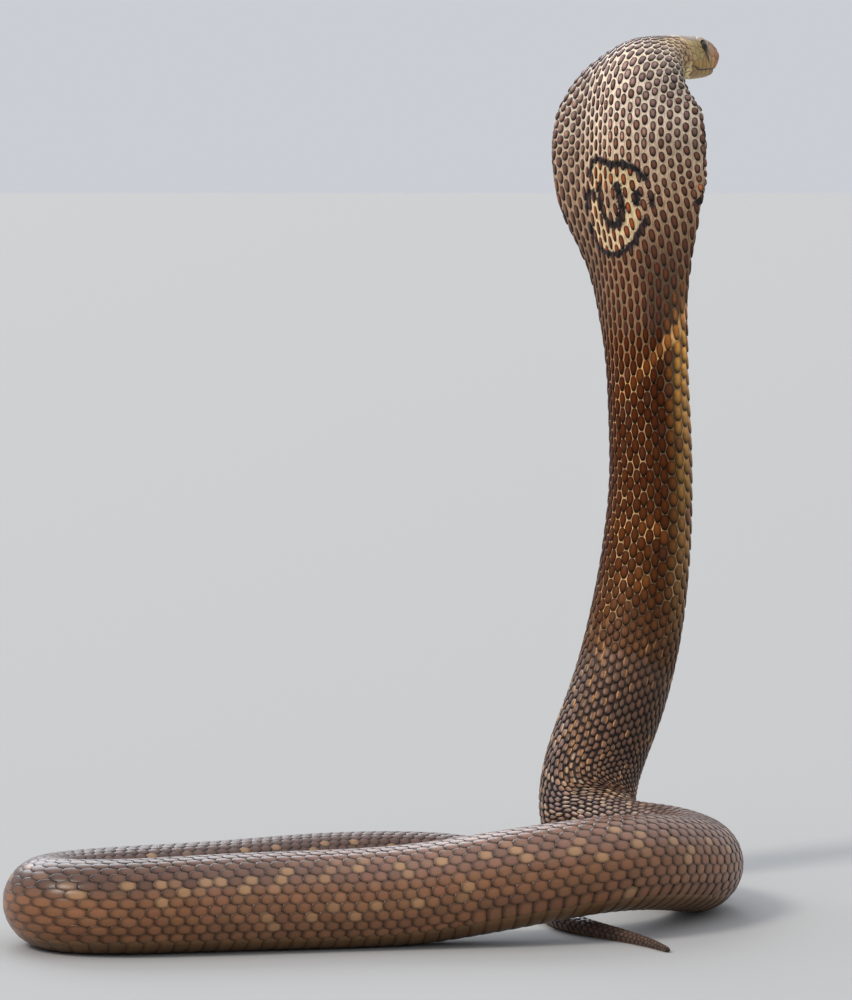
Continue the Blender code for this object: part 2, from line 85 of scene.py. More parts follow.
stations = {  # x, y, z, half width, above, below, way the back faces, hood, edge sweep
    "snout": (137.8, 31.2, 386.0, 7.0, 5.8, 7.6, up, 0.0, 0.0),
    "midHead": (123.6, 17.0, 386.1, 12.0, 10.6, 10.3, up, 0.0, 0.0),
    "skull": (109.3, 2.7, 386.2, 16.2, 10.6, 10.4, (-0.05, -0.05, 1.0), 0.10, 0.5),
    "nape": (101.2, -5.3, 384.2, 26.5, 11.3, 10.2, (-0.25, -0.35, 0.90), 0.50, 3.5),
    "napeLow": (95.0, -11.9, 378.6, 32.0, 12.0, 9.5, (-0.42, -0.58, 0.70), 0.75, 5.5),
    "shoulder": (91.8, -15.6, 370.6, 36.2, 12.3, 9.0, (-0.52, -0.76, 0.40), 0.90, 8.0),
    "hoodTop": (90.3, -17.9, 359.5, 41.0, 12.2, 8.5, (-0.54, -0.83, 0.12), 1.0, 10.0),
    "hoodWide": (89.8, -19.0, 343.0, 43.0, 12.2, 8.5, (-0.54, -0.84, 0.0), 1.0, 11.0),
    "hoodMid": (90.9, -17.7, 323.0, 41.8, 12.2, 9.5, (-0.54, -0.84, -0.05), 1.0, 11.0),
    "hoodLow": (94.9, -15.5, 304.0, 35.8, 12.8, 11.0, (-0.55, -0.83, -0.08), 0.85, 8.0),
    "hoodEnd": (99.2, -12.5, 285.5, 28.4, 14.5, 13.5, (-0.55, -0.83, -0.10), 0.50, 4.0),
    "neckTop": (103.0, -9.5, 262.0, 22.8, 17.3, 16.8, (-0.56, -0.83, -0.10), 0.10, 0.0),
    "neckHigh": (105.3, -6.3, 228.5, 20.2, 18.8, 18.8, (-0.57, -0.82, -0.05), 0.0, 0.0),
    "neckMid": (106.7, -4.6, 190.3, 20.3, 19.8, 19.8, (-0.57, -0.82, 0.0), 0.0, 0.0),
    "neckLow": (104.5, -7.5, 152.5, 21.6, 21.2, 21.2, (-0.60, -0.80, 0.05), 0.0, 0.0),
    "foreneck": (98.6, -15.3, 115.1, 23.1, 22.6, 22.6, (-0.66, -0.74, 0.15), 0.0, 0.0),
    "baseHigh": (87.8, -30.5, 78.6, 23.8, 23.0, 23.0, (-0.72, -0.66, 0.25), 0.0, 0.0),
    "base": (77.5, -44.0, 51.0, 23.9, 22.8, 22.8, (-0.75, -0.50, 0.50), 0.0, 0.0),
    "baseLow": (76.5, -60.0, 31.0, 23.2, 22.3, 22.3, (-0.55, -0.30, 0.80), 0.0, 0.0),
    "fold": (87.5, -79.0, 22.5, 22.5, 22.0, 22.0, (-0.20, -0.10, 1.0), 0.0, 0.0),
    "rightBack": (105.0, -95.0, 21.6, 22.0, 21.7, 21.7, up, 0.0, 0.0),
    "rightTurn": (117.5, -116.5, 21.4, 22.0, 21.7, 21.7, up, 0.0, 0.0),
    "rightFront": (121.0, -146.0, 22.4, 22.0, 21.6, 21.6, up, 0.0, 0.0),
    "lift": (106.0, -181.0, 28.0, 21.9, 21.4, 21.4, up, 0.0, 0.0),
    "arch": (76.0, -214.0, 31.6, 22.0, 21.3, 21.3, up, 0.0, 0.0),
    "descent": (33.0, -231.0, 27.2, 22.4, 21.9, 21.9, up, 0.0, 0.0),
    "front": (-11.0, -238.0, 21.8, 22.6, 22.1, 22.1, up, 0.0, 0.0),
    "frontMid": (-75.0, -251.0, 21.0, 22.0, 21.5, 21.5, up, 0.0, 0.0),
    "frontLeft": (-118.0, -259.5, 20.5, 21.3, 20.9, 20.9, up, 0.0, 0.0),
    "leftIn": (-138.5, -261.0, 20.3, 21.0, 20.7, 20.7, up, 0.0, 0.0),
    "leftTurn": (-155.5, -254.0, 20.0, 20.8, 20.4, 20.4, up, 0.0, 0.0),
    "leftEnd": (-162.5, -237.0, 19.6, 20.4, 20.0, 20.0, up, 0.0, 0.0),
    "leftOut": (-155.0, -219.5, 19.2, 20.0, 19.6, 19.6, up, 0.0, 0.0),
    "backLeft": (-99.0, -173.5, 18.0, 18.7, 18.4, 18.4, up, 0.0, 0.0),
    "backMid": (-56.0, -135.0, 17.1, 17.8, 17.5, 17.5, up, 0.0, 0.0),
    "backRight": (-14.0, -107.0, 15.9, 16.6, 16.3, 16.3, up, 0.0, 0.0),
    "vent": (18.0, -102.0, 14.5, 15.2, 14.9, 14.9, up, 0.0, 0.0),
    "tailRoot": (40.0, -115.0, 12.4, 13.0, 12.8, 12.8, up, 0.0, 0.0),
    "tailTurn": (53.0, -140.0, 9.6, 10.0, 9.9, 9.9, up, 0.0, 0.0),
    "tailMid": (55.5, -170.0, 7.1, 7.4, 7.3, 7.3, up, 0.0, 0.0),
    "tailUnder": (60.0, -196.0, 5.1, 5.4, 5.3, 5.3, up, 0.0, 0.0),
    "tailCross": (71.0, -214.0, 4.0, 4.2, 4.1, 4.1, up, 0.0, 0.0),
    "tailFront": (86.0, -231.0, 3.0, 3.1, 3.1, 3.1, up, 0.0, 0.0),
    "tailEnd": (98.0, -249.0, 2.1, 2.1, 2.1, 2.1, up, 0.0, 0.0),
    "tailTip": (104.0, -261.0, 1.4, 1.3, 1.3, 1.3, up, 0.0, 0.0),
}


# Cubic pieces with no jump in slope or bend: the bends solve one set of linear equations.
def naturalSpline(knots, values, wanted):
    count = len(knots)
    step = np.diff(knots)
    system = np.eye(count)
    inner = np.arange(1, count - 1)
    system[inner, inner - 1] = step[:-1]
    system[inner, inner] = 2.0 * (step[:-1] + step[1:])
    system[inner, inner + 1] = step[1:]
    rise = np.diff(values, axis=0) / step[:, None]
    right = np.zeros(values.shape)
    right[1:-1] = 3.0 * (rise[1:] - rise[:-1])
    bend = np.linalg.solve(system, right)
    span = step[:, None]
    slope = rise - span * (2.0 * bend[:-1] + bend[1:]) / 3.0
    cubic = (bend[1:] - bend[:-1]) / (3.0 * span)
    piece = np.clip(np.searchsorted(knots, wanted, side="right") - 1, 0, count - 2)
    along = (wanted - knots[piece])[:, None]
    return values[piece] + along * (slope[piece] + along * (bend[piece] + along * cubic[piece]))


# Cubic pieces that never overshoot: each knot's slope is the harmonic mean of its two sides.
def gentleCurve(knots, values, wanted):
    step = np.diff(knots)[:, None]
    rise = np.diff(values, axis=0) / step
    product = rise[:-1] * rise[1:]
    mean = 2.0 * product / np.where(product > 0.0, rise[:-1] + rise[1:], 1.0)
    slope = np.zeros(values.shape)
    slope[1:-1] = np.where(product > 0.0, mean, 0.0)
    slope[0] = rise[0]
    slope[-1] = rise[-1]
    piece = np.clip(np.searchsorted(knots, wanted, side="right") - 1, 0, len(knots) - 2)
    width = step[piece]
    u = (wanted - knots[piece])[:, None] / width
    low = values[piece]
    high = values[piece + 1]
    start = width * slope[piece] * u * (1.0 - u) ** 2
    end = width * slope[piece + 1] * u * u * (u - 1.0)
    return low + (high - low) * u * u * (3.0 - 2.0 * u) + start + end


def unit(vectors):
    return vectors / np.maximum(np.linalg.norm(vectors, axis=-1, keepdims=True), 1e-12)


def bump(value, middle, spread):  # 1 at the middle, falling off as a bell
    return np.exp(-((value - middle) / spread) ** 2)


def fade(value, start, end):  # 0 before start, 1 after end, smooth between
    u = np.clip((value - start) / (end - start), 0.0, 1.0)
    return u * u * (3.0 - 2.0 * u)


def readTable(lengths, rows):  # straight lines between the rows (length, value)
    knots = [row[0] for row in rows]
    return np.interp(lengths, knots, [row[1] for row in rows])


def traceSpine():
    places = np.array([row[:3] for row in stations.values()])
    steps = np.linalg.norm(np.diff(places, axis=0), axis=1)
    chord = np.concatenate([[0.0], np.cumsum(steps)])
    fine = np.linspace(0.0, chord[-1], body["samples"])
    points = naturalSpline(chord, places, fine)
    steps = np.linalg.norm(np.diff(points, axis=0), axis=1)
    length = np.concatenate([[0.0], np.cumsum(steps)])
    return points, length, dict(zip(stations, np.interp(chord, fine, length)))


spine, spineLength, marks = traceSpine()
total = spineLength[-1]


def sectionValues(lengths):
    rows = [row + (0.0, 0.0, 1.0, 0.0, 0.0) for row in headRows.values()]
    for name, row in stations.items():
        if marks[name] > body["headLength"] - 2.0:
            rows.append((marks[name], row[3], row[4], row[5], *row[6], row[7], row[8]))
    table = np.array(rows)
    return gentleCurve(table[:, 0], table[:, 1:], lengths)


def onSpine(lengths):
    return np.stack([np.interp(lengths, spineLength, spine[:, axis]) for axis in range(3)], 1)


def frameAt(lengths):
    along = unit(onSpine(np.clip(lengths + 1.0, 0, total)) - onSpine(np.clip(lengths - 1.0, 0, total)))
    values = sectionValues(lengths)
    back = values[:, 3:6]
    back = unit(back - (back * along).sum(1, keepdims=True) * along)
    return onSpine(lengths), along, back, np.cross(along, back), values


# The mouth line's height over the spine, and the head's lips, brows, hollows and jowls: each form
# is a push times a bell in distance from the snout times a bell in height.
face = {
    "lipPlaces": (0.0, 10.0, 21.0, 30.0),
    "lipLevels": (-5.4, -5.3, -6.1, -4.3),
    "lipSwell": 0.30,
    "lowerLip": 0.7,  # share of the upper lip's swell
    "groove": 0.55,
    "brow": (0.95, 17.6, 4.8, 8.8, 1.5),  # push, reach and its spread, height and its spread
    "hollow": (-0.45, 6.5, 2.6, 4.6, 2.2),
    "jowl": (0.5, 29.0, 5.0, -1.0, 4.0),
    "eyeAt": (18.2, 5.4),
    "eyeRadius": 3.05,
    "eyeStandsOut": 1.15,
    "nostrilAt": (3.8, 1.6),
    "tuck": 2.0,  # how far the snout's lower half is set back
}


def lipLine(reach):
    return np.interp(reach, face["lipPlaces"], face["lipLevels"])


def formPush(name, reach, height):
    push, at, spread, level, rise = face[name]
    return push * bump(reach, at, spread) * bump(height, level, rise)


def headForms(reach, lateral, height):
    size = np.hypot(lateral, height) + 1e-6
    mouth = 1.0 - fade(reach, 27.0, 31.0)
    off = height - lipLine(reach)
    groove = -face["groove"] * bump(off, 0.0, 0.45) * mouth
    upper = face["lipSwell"] * bump(off, 1.7, 1.1) * mouth
    lower = face["lowerLip"] * face["lipSwell"] * bump(off, -1.6, 1.1) * mouth
    forms = formPush("brow", reach, height) + formPush("hollow", reach, height)
    forms = forms + formPush("jowl", reach, height)
    push = groove + upper + lower + fade(np.abs(lateral), 2.0, 5.0) * forms
    return lateral + push * lateral / size, height + push * height / size


# A ring is a squarish ellipse; a spread hood thins it away from the middle and sweeps its edges
# forward. A turn of 0 is the middle of the back, half a turn the middle of the belly.
def sweepPoints(lengths, turns):
    centre, along, back, side, values = frameAt(lengths)
    width, above, below = (values[:, column, None] for column in range(3))
    hood = values[:, 6, None]
    sweep = values[:, 7, None]
    reach = lengths[:, None]
    snout = np.sqrt(1.0 - (1.0 - np.clip(reach / body["snoutRound"], 0.0, 1.0)) ** 2)
    tip = np.sqrt(1.0 - (1.0 - np.clip((total - reach) / body["tailRound"], 0.0, 1.0)) ** 2)
    close = snout * tip
    square = body["headSquare"] + (1.0 - body["headSquare"]) * fade(reach, 30.0, 52.0)
    angle = 2.0 * math.pi * turns
    across = np.sign(np.sin(angle)) * np.abs(np.sin(angle)) ** square
    upward = np.sign(np.cos(angle)) * np.abs(np.cos(angle)) ** square
    core = np.exp(-(across * width / body["hoodCore"]) ** 2)
    thick = 1.0 - hood + hood * (core + (1.0 - core) * body["hoodEdge"])
    height = upward * np.where(upward > 0.0, above, below) * thick * close - sweep * across ** 2
    lateral, height = headForms(reach, across * width * close, height)
    tuck = face["tuck"] * fade(-height, 0.0, 4.5) * (1.0 - fade(reach, 4.0, 14.0))
    points = centre[:, None] + side[:, None] * lateral[..., None] + back[:, None] * height[..., None]
    points = points + along[:, None] * tuck[..., None]
    points[..., 2] = np.maximum(points[..., 2], body["floorSink"]) - body["floorSink"]
    return points


# The whole surface once, on a grid of length by even steps of girth, with its outward normals.
grid = {
    "headTo": 50.0,
    "headCount": 420,
    "bodyStep": 0.9,
    "tip": 3.0,  # from here to the tail's end the rings crowd
    "tipCount": 14,
    "turns": 320,  # steps of angle that a ring is first worked out on
    "shares": 256,  # even steps of girth that it is kept as
}


def surfaceTable():
    tip = total - grid["tip"]
    lengths = np.concatenate([np.linspace(0.03, grid["headTo"], grid["headCount"]),
                              np.arange(grid["headTo"] + 0.7, tip, grid["bodyStep"]),
                              np.linspace(tip, total - 0.03, grid["tipCount"])])
    turns = np.tile(np.linspace(0.0, 1.0, grid["turns"] + 1), (len(lengths), 1))
    rings = sweepPoints(lengths, turns)
    steps = np.linalg.norm(np.diff(rings, axis=1), axis=2)
    arc = np.concatenate([np.zeros((len(lengths), 1)), np.cumsum(steps, axis=1)], 1)
    girth = arc[:, -1]
    apart = 1000.0 * np.arange(len(lengths))[:, None]
    wanted = np.linspace(0.0, 1.0, grid["shares"] + 1)[None] * girth[:, None] + apart
    flat = (arc + apart).ravel()
    even = np.stack([np.interp(wanted.ravel(), flat, rings[..., axis].ravel()) for axis in range(3)], -1)
    even = even.reshape(len(lengths), -1, 3)
    around = np.roll(even[:, :-1], -1, axis=1) - np.roll(even[:, :-1], 1, axis=1)
    around = np.concatenate([around, around[:, :1]], 1)
    slope = np.gradient(even, lengths, axis=0)
    tailwards = frameAt(lengths)[1][:, None]
    share = (slope * tailwards).sum(-1, keepdims=True)
    slope = slope + np.maximum(0.3 - share, 0.0) * tailwards  # steady on the inside of a tight bend
    normal = unit(np.cross(around, slope))
    outward = even - even[:, :-1].mean(1, keepdims=True)
    normal = normal * np.sign((normal * outward).sum((1, 2)))[:, None, None]
    return lengths, girth, even, normal


tableLengths, tableGirth, tablePoints, tableNormals = surfaceTable()
tableRadius = tableGirth / (2.0 * math.pi)
print("surface worked out:", tablePoints.shape)


def girthAt(lengths):
    return np.interp(lengths, tableLengths, tableGirth)


# A place on the surface: length from the snout and share of the girth, blended from the four
# nearest places of the grid and raised along the normal.
def onSurface(lengths, share, raised):
    row = np.interp(lengths, tableLengths, np.arange(len(tableLengths)))
    column = np.mod(share, 1.0) * grid["shares"]
    r = np.clip(row.astype(int), 0, len(tableLengths) - 2)
    c = np.clip(column.astype(int), 0, grid["shares"] - 1)
    u = (row - r)[..., None]
    v = (column - c)[..., None]
    def blend(table):
        near = table[r, c] * (1.0 - v) + table[r, c + 1] * v
        far = table[r + 1, c] * (1.0 - v) + table[r + 1, c + 1] * v
        return near * (1.0 - u) + far * u
    return blend(tablePoints) + unit(blend(tableNormals)) * np.asarray(raised)[..., None]


def inFrame(points):  # millimetres in the working place to metres in the frame
    return points * 0.001 + np.array(body["shift"])


# How deep the scales lie over the skin: less on the thin tail, and growing from the throat.
def coatDepth(lengths):
    depth = np.minimum(body["coat"], 0.16 * np.interp(lengths, tableLengths, tableRadius))
    return depth * (0.45 + 0.55 * fade(lengths, 30.0, 46.0)) * fade(lengths, 12.0, 18.0)


def linear(rgb):  # colours are noted as they look, 0 to 255, and turned into light values
    value = np.asarray(rgb, float) / 255.0
    return np.where(value <= 0.04045, value / 12.92, ((value + 0.055) / 1.055) ** 2.4)


def colourAlong(lengths, rows):  # straight blends between the rows (length, (r, g, b))
    knots = [row[0] for row in rows]
    tones = np.array([row[1] for row in rows], float)
    return np.stack([np.interp(lengths, knots, tones[:, axis]) for axis in range(3)], -1)


def mix(first, second, share):
    share = np.clip(share, 0.0, 1.0)[..., None]
    return first * (1.0 - share) + np.asarray(second, float) * share


# Markings, by length from the snout and distance round the body from the middle of the back;
# the left side counts positive. Each line has a half width and the places it runs through.
mark = {
    "lines": (
        (1.6, ((113.0, 11.2), (109.0, 10.6), (105.8, 9.0), (104.3, 5.5), (105.2, 1.5), (107.0, -3.0),
               (106.6, -8.0), (108.0, -13.6), (111.0, -17.0), (114.0, -19.6))),
        (2.3, ((119.0, 13.5), (121.5, 15.8), (124.5, 16.8))),
        (1.2, ((118.5, 9.2), (121.0, 8.4))),
        (2.0, ((134.5, 17.4), (138.0, 17.0))),
        (1.5, ((138.0, 17.0), (142.5, 14.5), (145.5, 10.5), (147.0, 4.0), (147.0, -0.5), (145.4, -5.0),
               (143.0, -9.0), (140.5, -11.6), (138.2, -13.8), (136.0, -15.6), (134.4, -16.8))),
        (1.6, ((123.5, -21.2), (128.0, -20.8))),
        (1.9, ((121.0, -14.5), (125.8, -14.0))),
        (1.5, ((115.5, 4.0), (120.0, 4.8), (125.0, 5.0), (129.5, 4.2), (132.5, 1.6))),
        (1.9, ((132.5, 1.6), (134.0, -1.0), (133.0, -3.6), (131.5, -4.8))),
        (1.9, ((131.5, -4.8), (127.5, -6.6), (122.0, -6.6), (116.5, -5.6))),
        (2.0, ((130.5, -45.5), (132.0, -41.8))),
        (1.8, ((128.5, 46.0), (129.5, 42.6))),
    ),
    "left": ((103, 0), (105, 8), (108, 10.6), (113, 11.6), (118, 12.4), (122, 15), (136, 17),
             (141, 15.5), (145, 11), (148, 0)),
    "right": ((103, -3), (106, -10), (110, -15), (114, -16.5), (122, -16), (130, -15.5), (134, -15),
              (139, -12), (143, -8.5), (148, 0)),
    "black": (38, 31, 33),
    "skinTones": ((226, 198, 154), (172, 142, 116)),  # in the mark, and inside its inner loop
    "scaleTones": ((122, 58, 24), (84, 50, 38)),
}
# Pale scales of the ground lengths: length from the snout and distance round from the middle of
# the back.
spots = (
    (690, -18.8), (672, -18.1), (662, -16.3), (655, -21.5), (636, -20.7), (627, -25.7), (619, -16.0),
    (612, -24.5), (609, -19.4), (594, -20.5), (582, -26.7), (588, -32.3), (710, -20.0), (724, -12.4),
    (730, -19.4), (740, -16.4), (749, -22.1), (760, -18.0), (767, -23.0), (777, -20.0), (782, -26.7),
    (792, -21.5), (799, -22.0), (805, -25.7), (813, -21.2), (816, -28.8), (829, -20.4), (847, -23.5),
    (721, -36.2), (740, -34.2), (732, -39.0), (770, -41.0), (755, -39.7), (705, -33.4), (685, -32.7),
    (614, -43.5), (566, -21.0), (552, -25.0), (540, -18.5), (521, -23.0), (505, -27.0), (489, -20.0),
)
tones = {
    "scale": ((20, (150, 124, 92)), (30, (132, 106, 88)), (45, (120, 100, 92)), (60, (114, 90, 86)),
              (85, (114, 84, 76)), (100, (108, 76, 62)), (120, (98, 60, 42)), (150, (82, 38, 18)),
              (175, (73, 30, 6)), (215, (71, 30, 5)), (300, (77, 38, 8)), (330, (81, 45, 18)),
              (360, (91, 63, 44)), (400, (106, 82, 75)), (430, (116, 92, 87)), (520, (124, 89, 72)),
              (700, (126, 92, 76)), (840, (92, 66, 54)), (900, (87, 63, 54)), (1090, (98, 74, 65)),
              (1200, (99, 75, 66)), (1302, (88, 72, 64))),
    "skin": ((20, (206, 184, 136)), (33, (192, 166, 120)), (50, (230, 212, 186)), (85, (236, 214, 190)),
             (100, (224, 196, 166)), (125, (204, 168, 134)), (150, (158, 124, 94)), (178, (134, 102, 74)),
             (196, (148, 110, 76)), (212, (196, 156, 112)), (300, (190, 150, 106)), (322, (168, 130, 92)),
             (346, (104, 74, 52)), (374, (58, 40, 30)), (400, (40, 26, 20)), (450, (40, 28, 24)),
             (520, (56, 40, 34)), (1302, (48, 36, 30))),
    # belly tones: their own colour, from the lower neck back also darkened as painted shade of the
    # underside
    "belly": ((30, (218, 196, 146)), (100, (214, 186, 132)), (146, (204, 172, 116)),
              (156, (70, 50, 34)), (184, (74, 54, 36)), (196, (186, 152, 98)),
              (212, (160, 126, 78)), (240, (112, 82, 48)), (420, (100, 72, 44)),
              (1302, (100, 74, 52))),
    "low": ((60, (122, 96, 80)), (150, (104, 66, 40)), (180, (156, 108, 54)), (200, (188, 134, 64)),
            (220, (160, 114, 56)), (260, (138, 98, 48)), (330, (110, 74, 40)), (400, (104, 70, 44)),
            (470, (128, 86, 58)), (1302, (136, 94, 66))),
    "band": (236, 182, 116),
    "bandScale": (178, 108, 50),
    "tan": (176, 138, 98),
    "behindJaw": (164, 132, 96),
    "brownRight": (94, 60, 36),  # the right side of the lower neck stays brown
    "paintedLightLeft": (148, 112, 92),  # painted light: the hood's left side is paler and warmer, as lit from the left
    "hoodEdge": (178, 100, 52),  # orange scales at the hood's edge
}
shading = {  # how strongly each change of tone shows along the body; the sides and the hood's right are painted shade, the hood's left painted light
    "rightNeck": ((130, 0.0), (158, 0.8), (212, 1.0), (330, 1.0), (352, 0.4), (400, 0.0), (1302, 0.0)),
    "sides": ((44, 0.0), (56, 0.16), (75, 0.10), (100, 0.14), (150, 0.16), (190, 0.08),
              (215, 0.10), (300, 0.14), (380, 0.12), (430, 0.0), (1302, 0.0)),
    "rightHoodShade": ((46, 0.0), (55, 0.17), (70, 0.12), (86, 0.03), (97, 0.10), (112, 0.0)),
    "bellyEdge": ((30, 0.60), (46, 0.62), (75, 0.60), (140, 0.60), (190, 0.74), (1302, 0.74)),
    "backWidth": ((100, 60), (180, 46), (300, 50), (450, 52), (1302, 52)),
    "low": ((60, 0.0), (160, 0.3), (190, 1.0), (1302, 1.0)),
    "brownRight": ((320, 0.0), (345, 1.0), (440, 0.9), (472, 0.0)),
    "paintedLightLeft": ((55, 0.0), (66, 1.0), (105, 0.8), (135, 0.0)),
}
# Pale bands across the neck: length, lean, raggedness, full and gone along the body, strength,
# middle, full and gone across it.
bands = (
    (212.0, 0.88, 1.0, 2.8, 4.6, 1.0, -60.0, 68.0, 75.0),
    (283.5, 0.0, 1.3, 2.4, 4.2, 1.0, -6.0, 13.0, 19.0),
    (311.0, 0.0, -1.0, 1.5, 3.5, 0.8, -9.0, 5.0, 10.0),
    (327.0, 0.3, -1.0, 1.5, 3.5, 0.7, 3.0, 4.0, 9.0),
)


def markShare(lengths, around):  # how black the markings are here, 0 to 1
    wobble = 0.45 * np.sin(1.9 * lengths + 0.7 * around) * np.sin(2.3 * around - 0.4 * lengths)
    wobble = wobble + 0.25 * np.sin(4.1 * lengths - 1.3 * around)
    black = np.zeros(np.shape(lengths))
    for half, places in mark["lines"]:
        for (sa, wa), (sb, wb) in zip(places[:-1], places[1:]):
            share = (lengths - sa) * (sb - sa) + (around - wa) * (wb - wa)
            share = np.clip(share / ((sb - sa) ** 2 + (wb - wa) ** 2), 0.0, 1.0)
            gap = np.hypot(lengths - sa - share * (sb - sa), around - wa - share * (wb - wa)) + wobble
            black = np.maximum(black, 1.0 - fade(gap, half - 0.35, half + 0.45))
    return black


def markInside(lengths, around):  # 1 inside the ring, 0 outside
    left = readTable(lengths, mark["left"])
    right = readTable(lengths, mark["right"])
    inside = fade(left - around, 0.0, 1.5) * fade(around - right, 0.0, 1.5)
    return inside * (lengths > 104.0) * (lengths < 147.0)


def bandShare(lengths, around):  # how strongly a band shows here, the strongest of them
    ragged = 1.8 * np.sin(1.3 * around + 0.9) + 1.5 * np.sin(2.9 * around)
    share = np.zeros(np.shape(lengths))
    for place, lean, rough, full, gone, strength, middle, inside, outside in bands:
        off = np.abs(lengths - place - lean * around + rough * ragged)
        along = strength * (1.0 - fade(off, full, gone))
        share = np.maximum(share, along * (1.0 - fade(np.abs(around - middle), inside, outside)))
    return share


def rightDim(lengths, around):  # the neck is dusky between its middle and its golden right flank
    dim = fade(-around, 7.0, 15.0) * (1.0 - fade(-around, 24.0, 32.0))
    return dim * readTable(lengths, shading["rightNeck"])


# The neck turns a little on itself above its base, so rows and belly lean to the right there.
turning = ((0, 0.0), (240, 0.0), (300, -3.0), (345, -9.0), (400, -17.0), (440, -12.0), (475, 0.0),
           (1302, 0.0))


def leanAt(lengths):
    return readTable(lengths, turning)


def sideShade(lengths, around):  # painted shade: the hood and neck are darker towards both sides, and the hood's right shoulder more
    dark = readTable(lengths, shading["sides"])
    right = fade(-around, 8.0, 22.0) * readTable(lengths, shading["rightHoodShade"])
    return (1.0 - dark * fade(np.abs(around + 5.0), 11.0, 30.0)) * (1.0 - right)


def bellyShare(lengths, around):  # 0 on the back and flanks, 1 under the belly
    around = around - leanAt(lengths)
    around = around - girthAt(lengths) * np.round(around / girthAt(lengths))
    half = girthAt(lengths) / 2.0
    edge = readTable(lengths, shading["bellyEdge"])
    return fade(np.abs(around), (edge - 0.05) * half, (edge + 0.05) * half)


def markTone(lengths, around, kind):  # the mark's own tone, browner inside its inner loop
    inner = bump(lengths, 123.0, 8.0) * bump(around, -1.0, 3.5)
    outside, inside = mark[kind]
    return mix(np.array(outside, float), inside, inner)


def scaleTone(lengths, around):
    tone = colourAlong(lengths, tones["scale"])
    back = readTable(lengths, shading["backWidth"])
    low = fade(np.abs(around - leanAt(lengths)), 0.36 * back, 0.58 * back)
    tone = mix(tone, colourAlong(lengths, tones["low"]), low * readTable(lengths, shading["low"]))
    brown = fade(-around, -3.0, 9.0) * readTable(lengths, shading["brownRight"])
    tone = mix(tone, tones["brownRight"], 0.8 * brown)
    jaw = fade(np.abs(around), 5.0, 10.0) * (1.0 - fade(lengths, 40.0, 54.0))
    tone = mix(tone, tones["behindJaw"], 0.75 * jaw)
    tone = tone * (1.0 - 0.05 * rightDim(lengths, around))[..., None]
    # painted light: the left side of the hood is lighter, as if lit from the left
    pale = fade(around, 12.0, 28.0) * readTable(lengths, shading["paintedLightLeft"])
    tone = mix(tone, tones["paintedLightLeft"], 0.6 * pale)
    # painted shade towards the sides and on the hood's right shoulder
    tone = tone * sideShade(lengths, around)[..., None]
    tone = mix(tone, colourAlong(lengths, tones["belly"]), 0.85 * bellyShare(lengths, around))
    tone = mix(tone, markTone(lengths, around, "scaleTones"), markInside(lengths, around))
    edge = bump(lengths, 121.0, 5.0) * bump(np.abs(around), 44.5, 3.2)
    tone = mix(tone, tones["hoodEdge"], 0.85 * edge)
    return mix(tone, mark["black"], markShare(lengths, around))


def skinTone(lengths, around):
    tone = colourAlong(lengths, tones["skin"])
    # painted shade towards the sides and on the hood's right shoulder
    tone = tone * sideShade(lengths, around)[..., None]
    tone = mix(tone, colourAlong(lengths, tones["belly"]) * 1.05, 0.9 * bellyShare(lengths, around))
    tone = mix(tone, markTone(lengths, around, "skinTones"), markInside(lengths, around))
    tone = tone * (1.0 - 0.42 * rightDim(lengths, around))[..., None]
    tone = mix(tone, tones["band"], 0.95 * bandShare(lengths, around))
    return mix(tone, mark["black"], 0.96 * markShare(lengths, around))


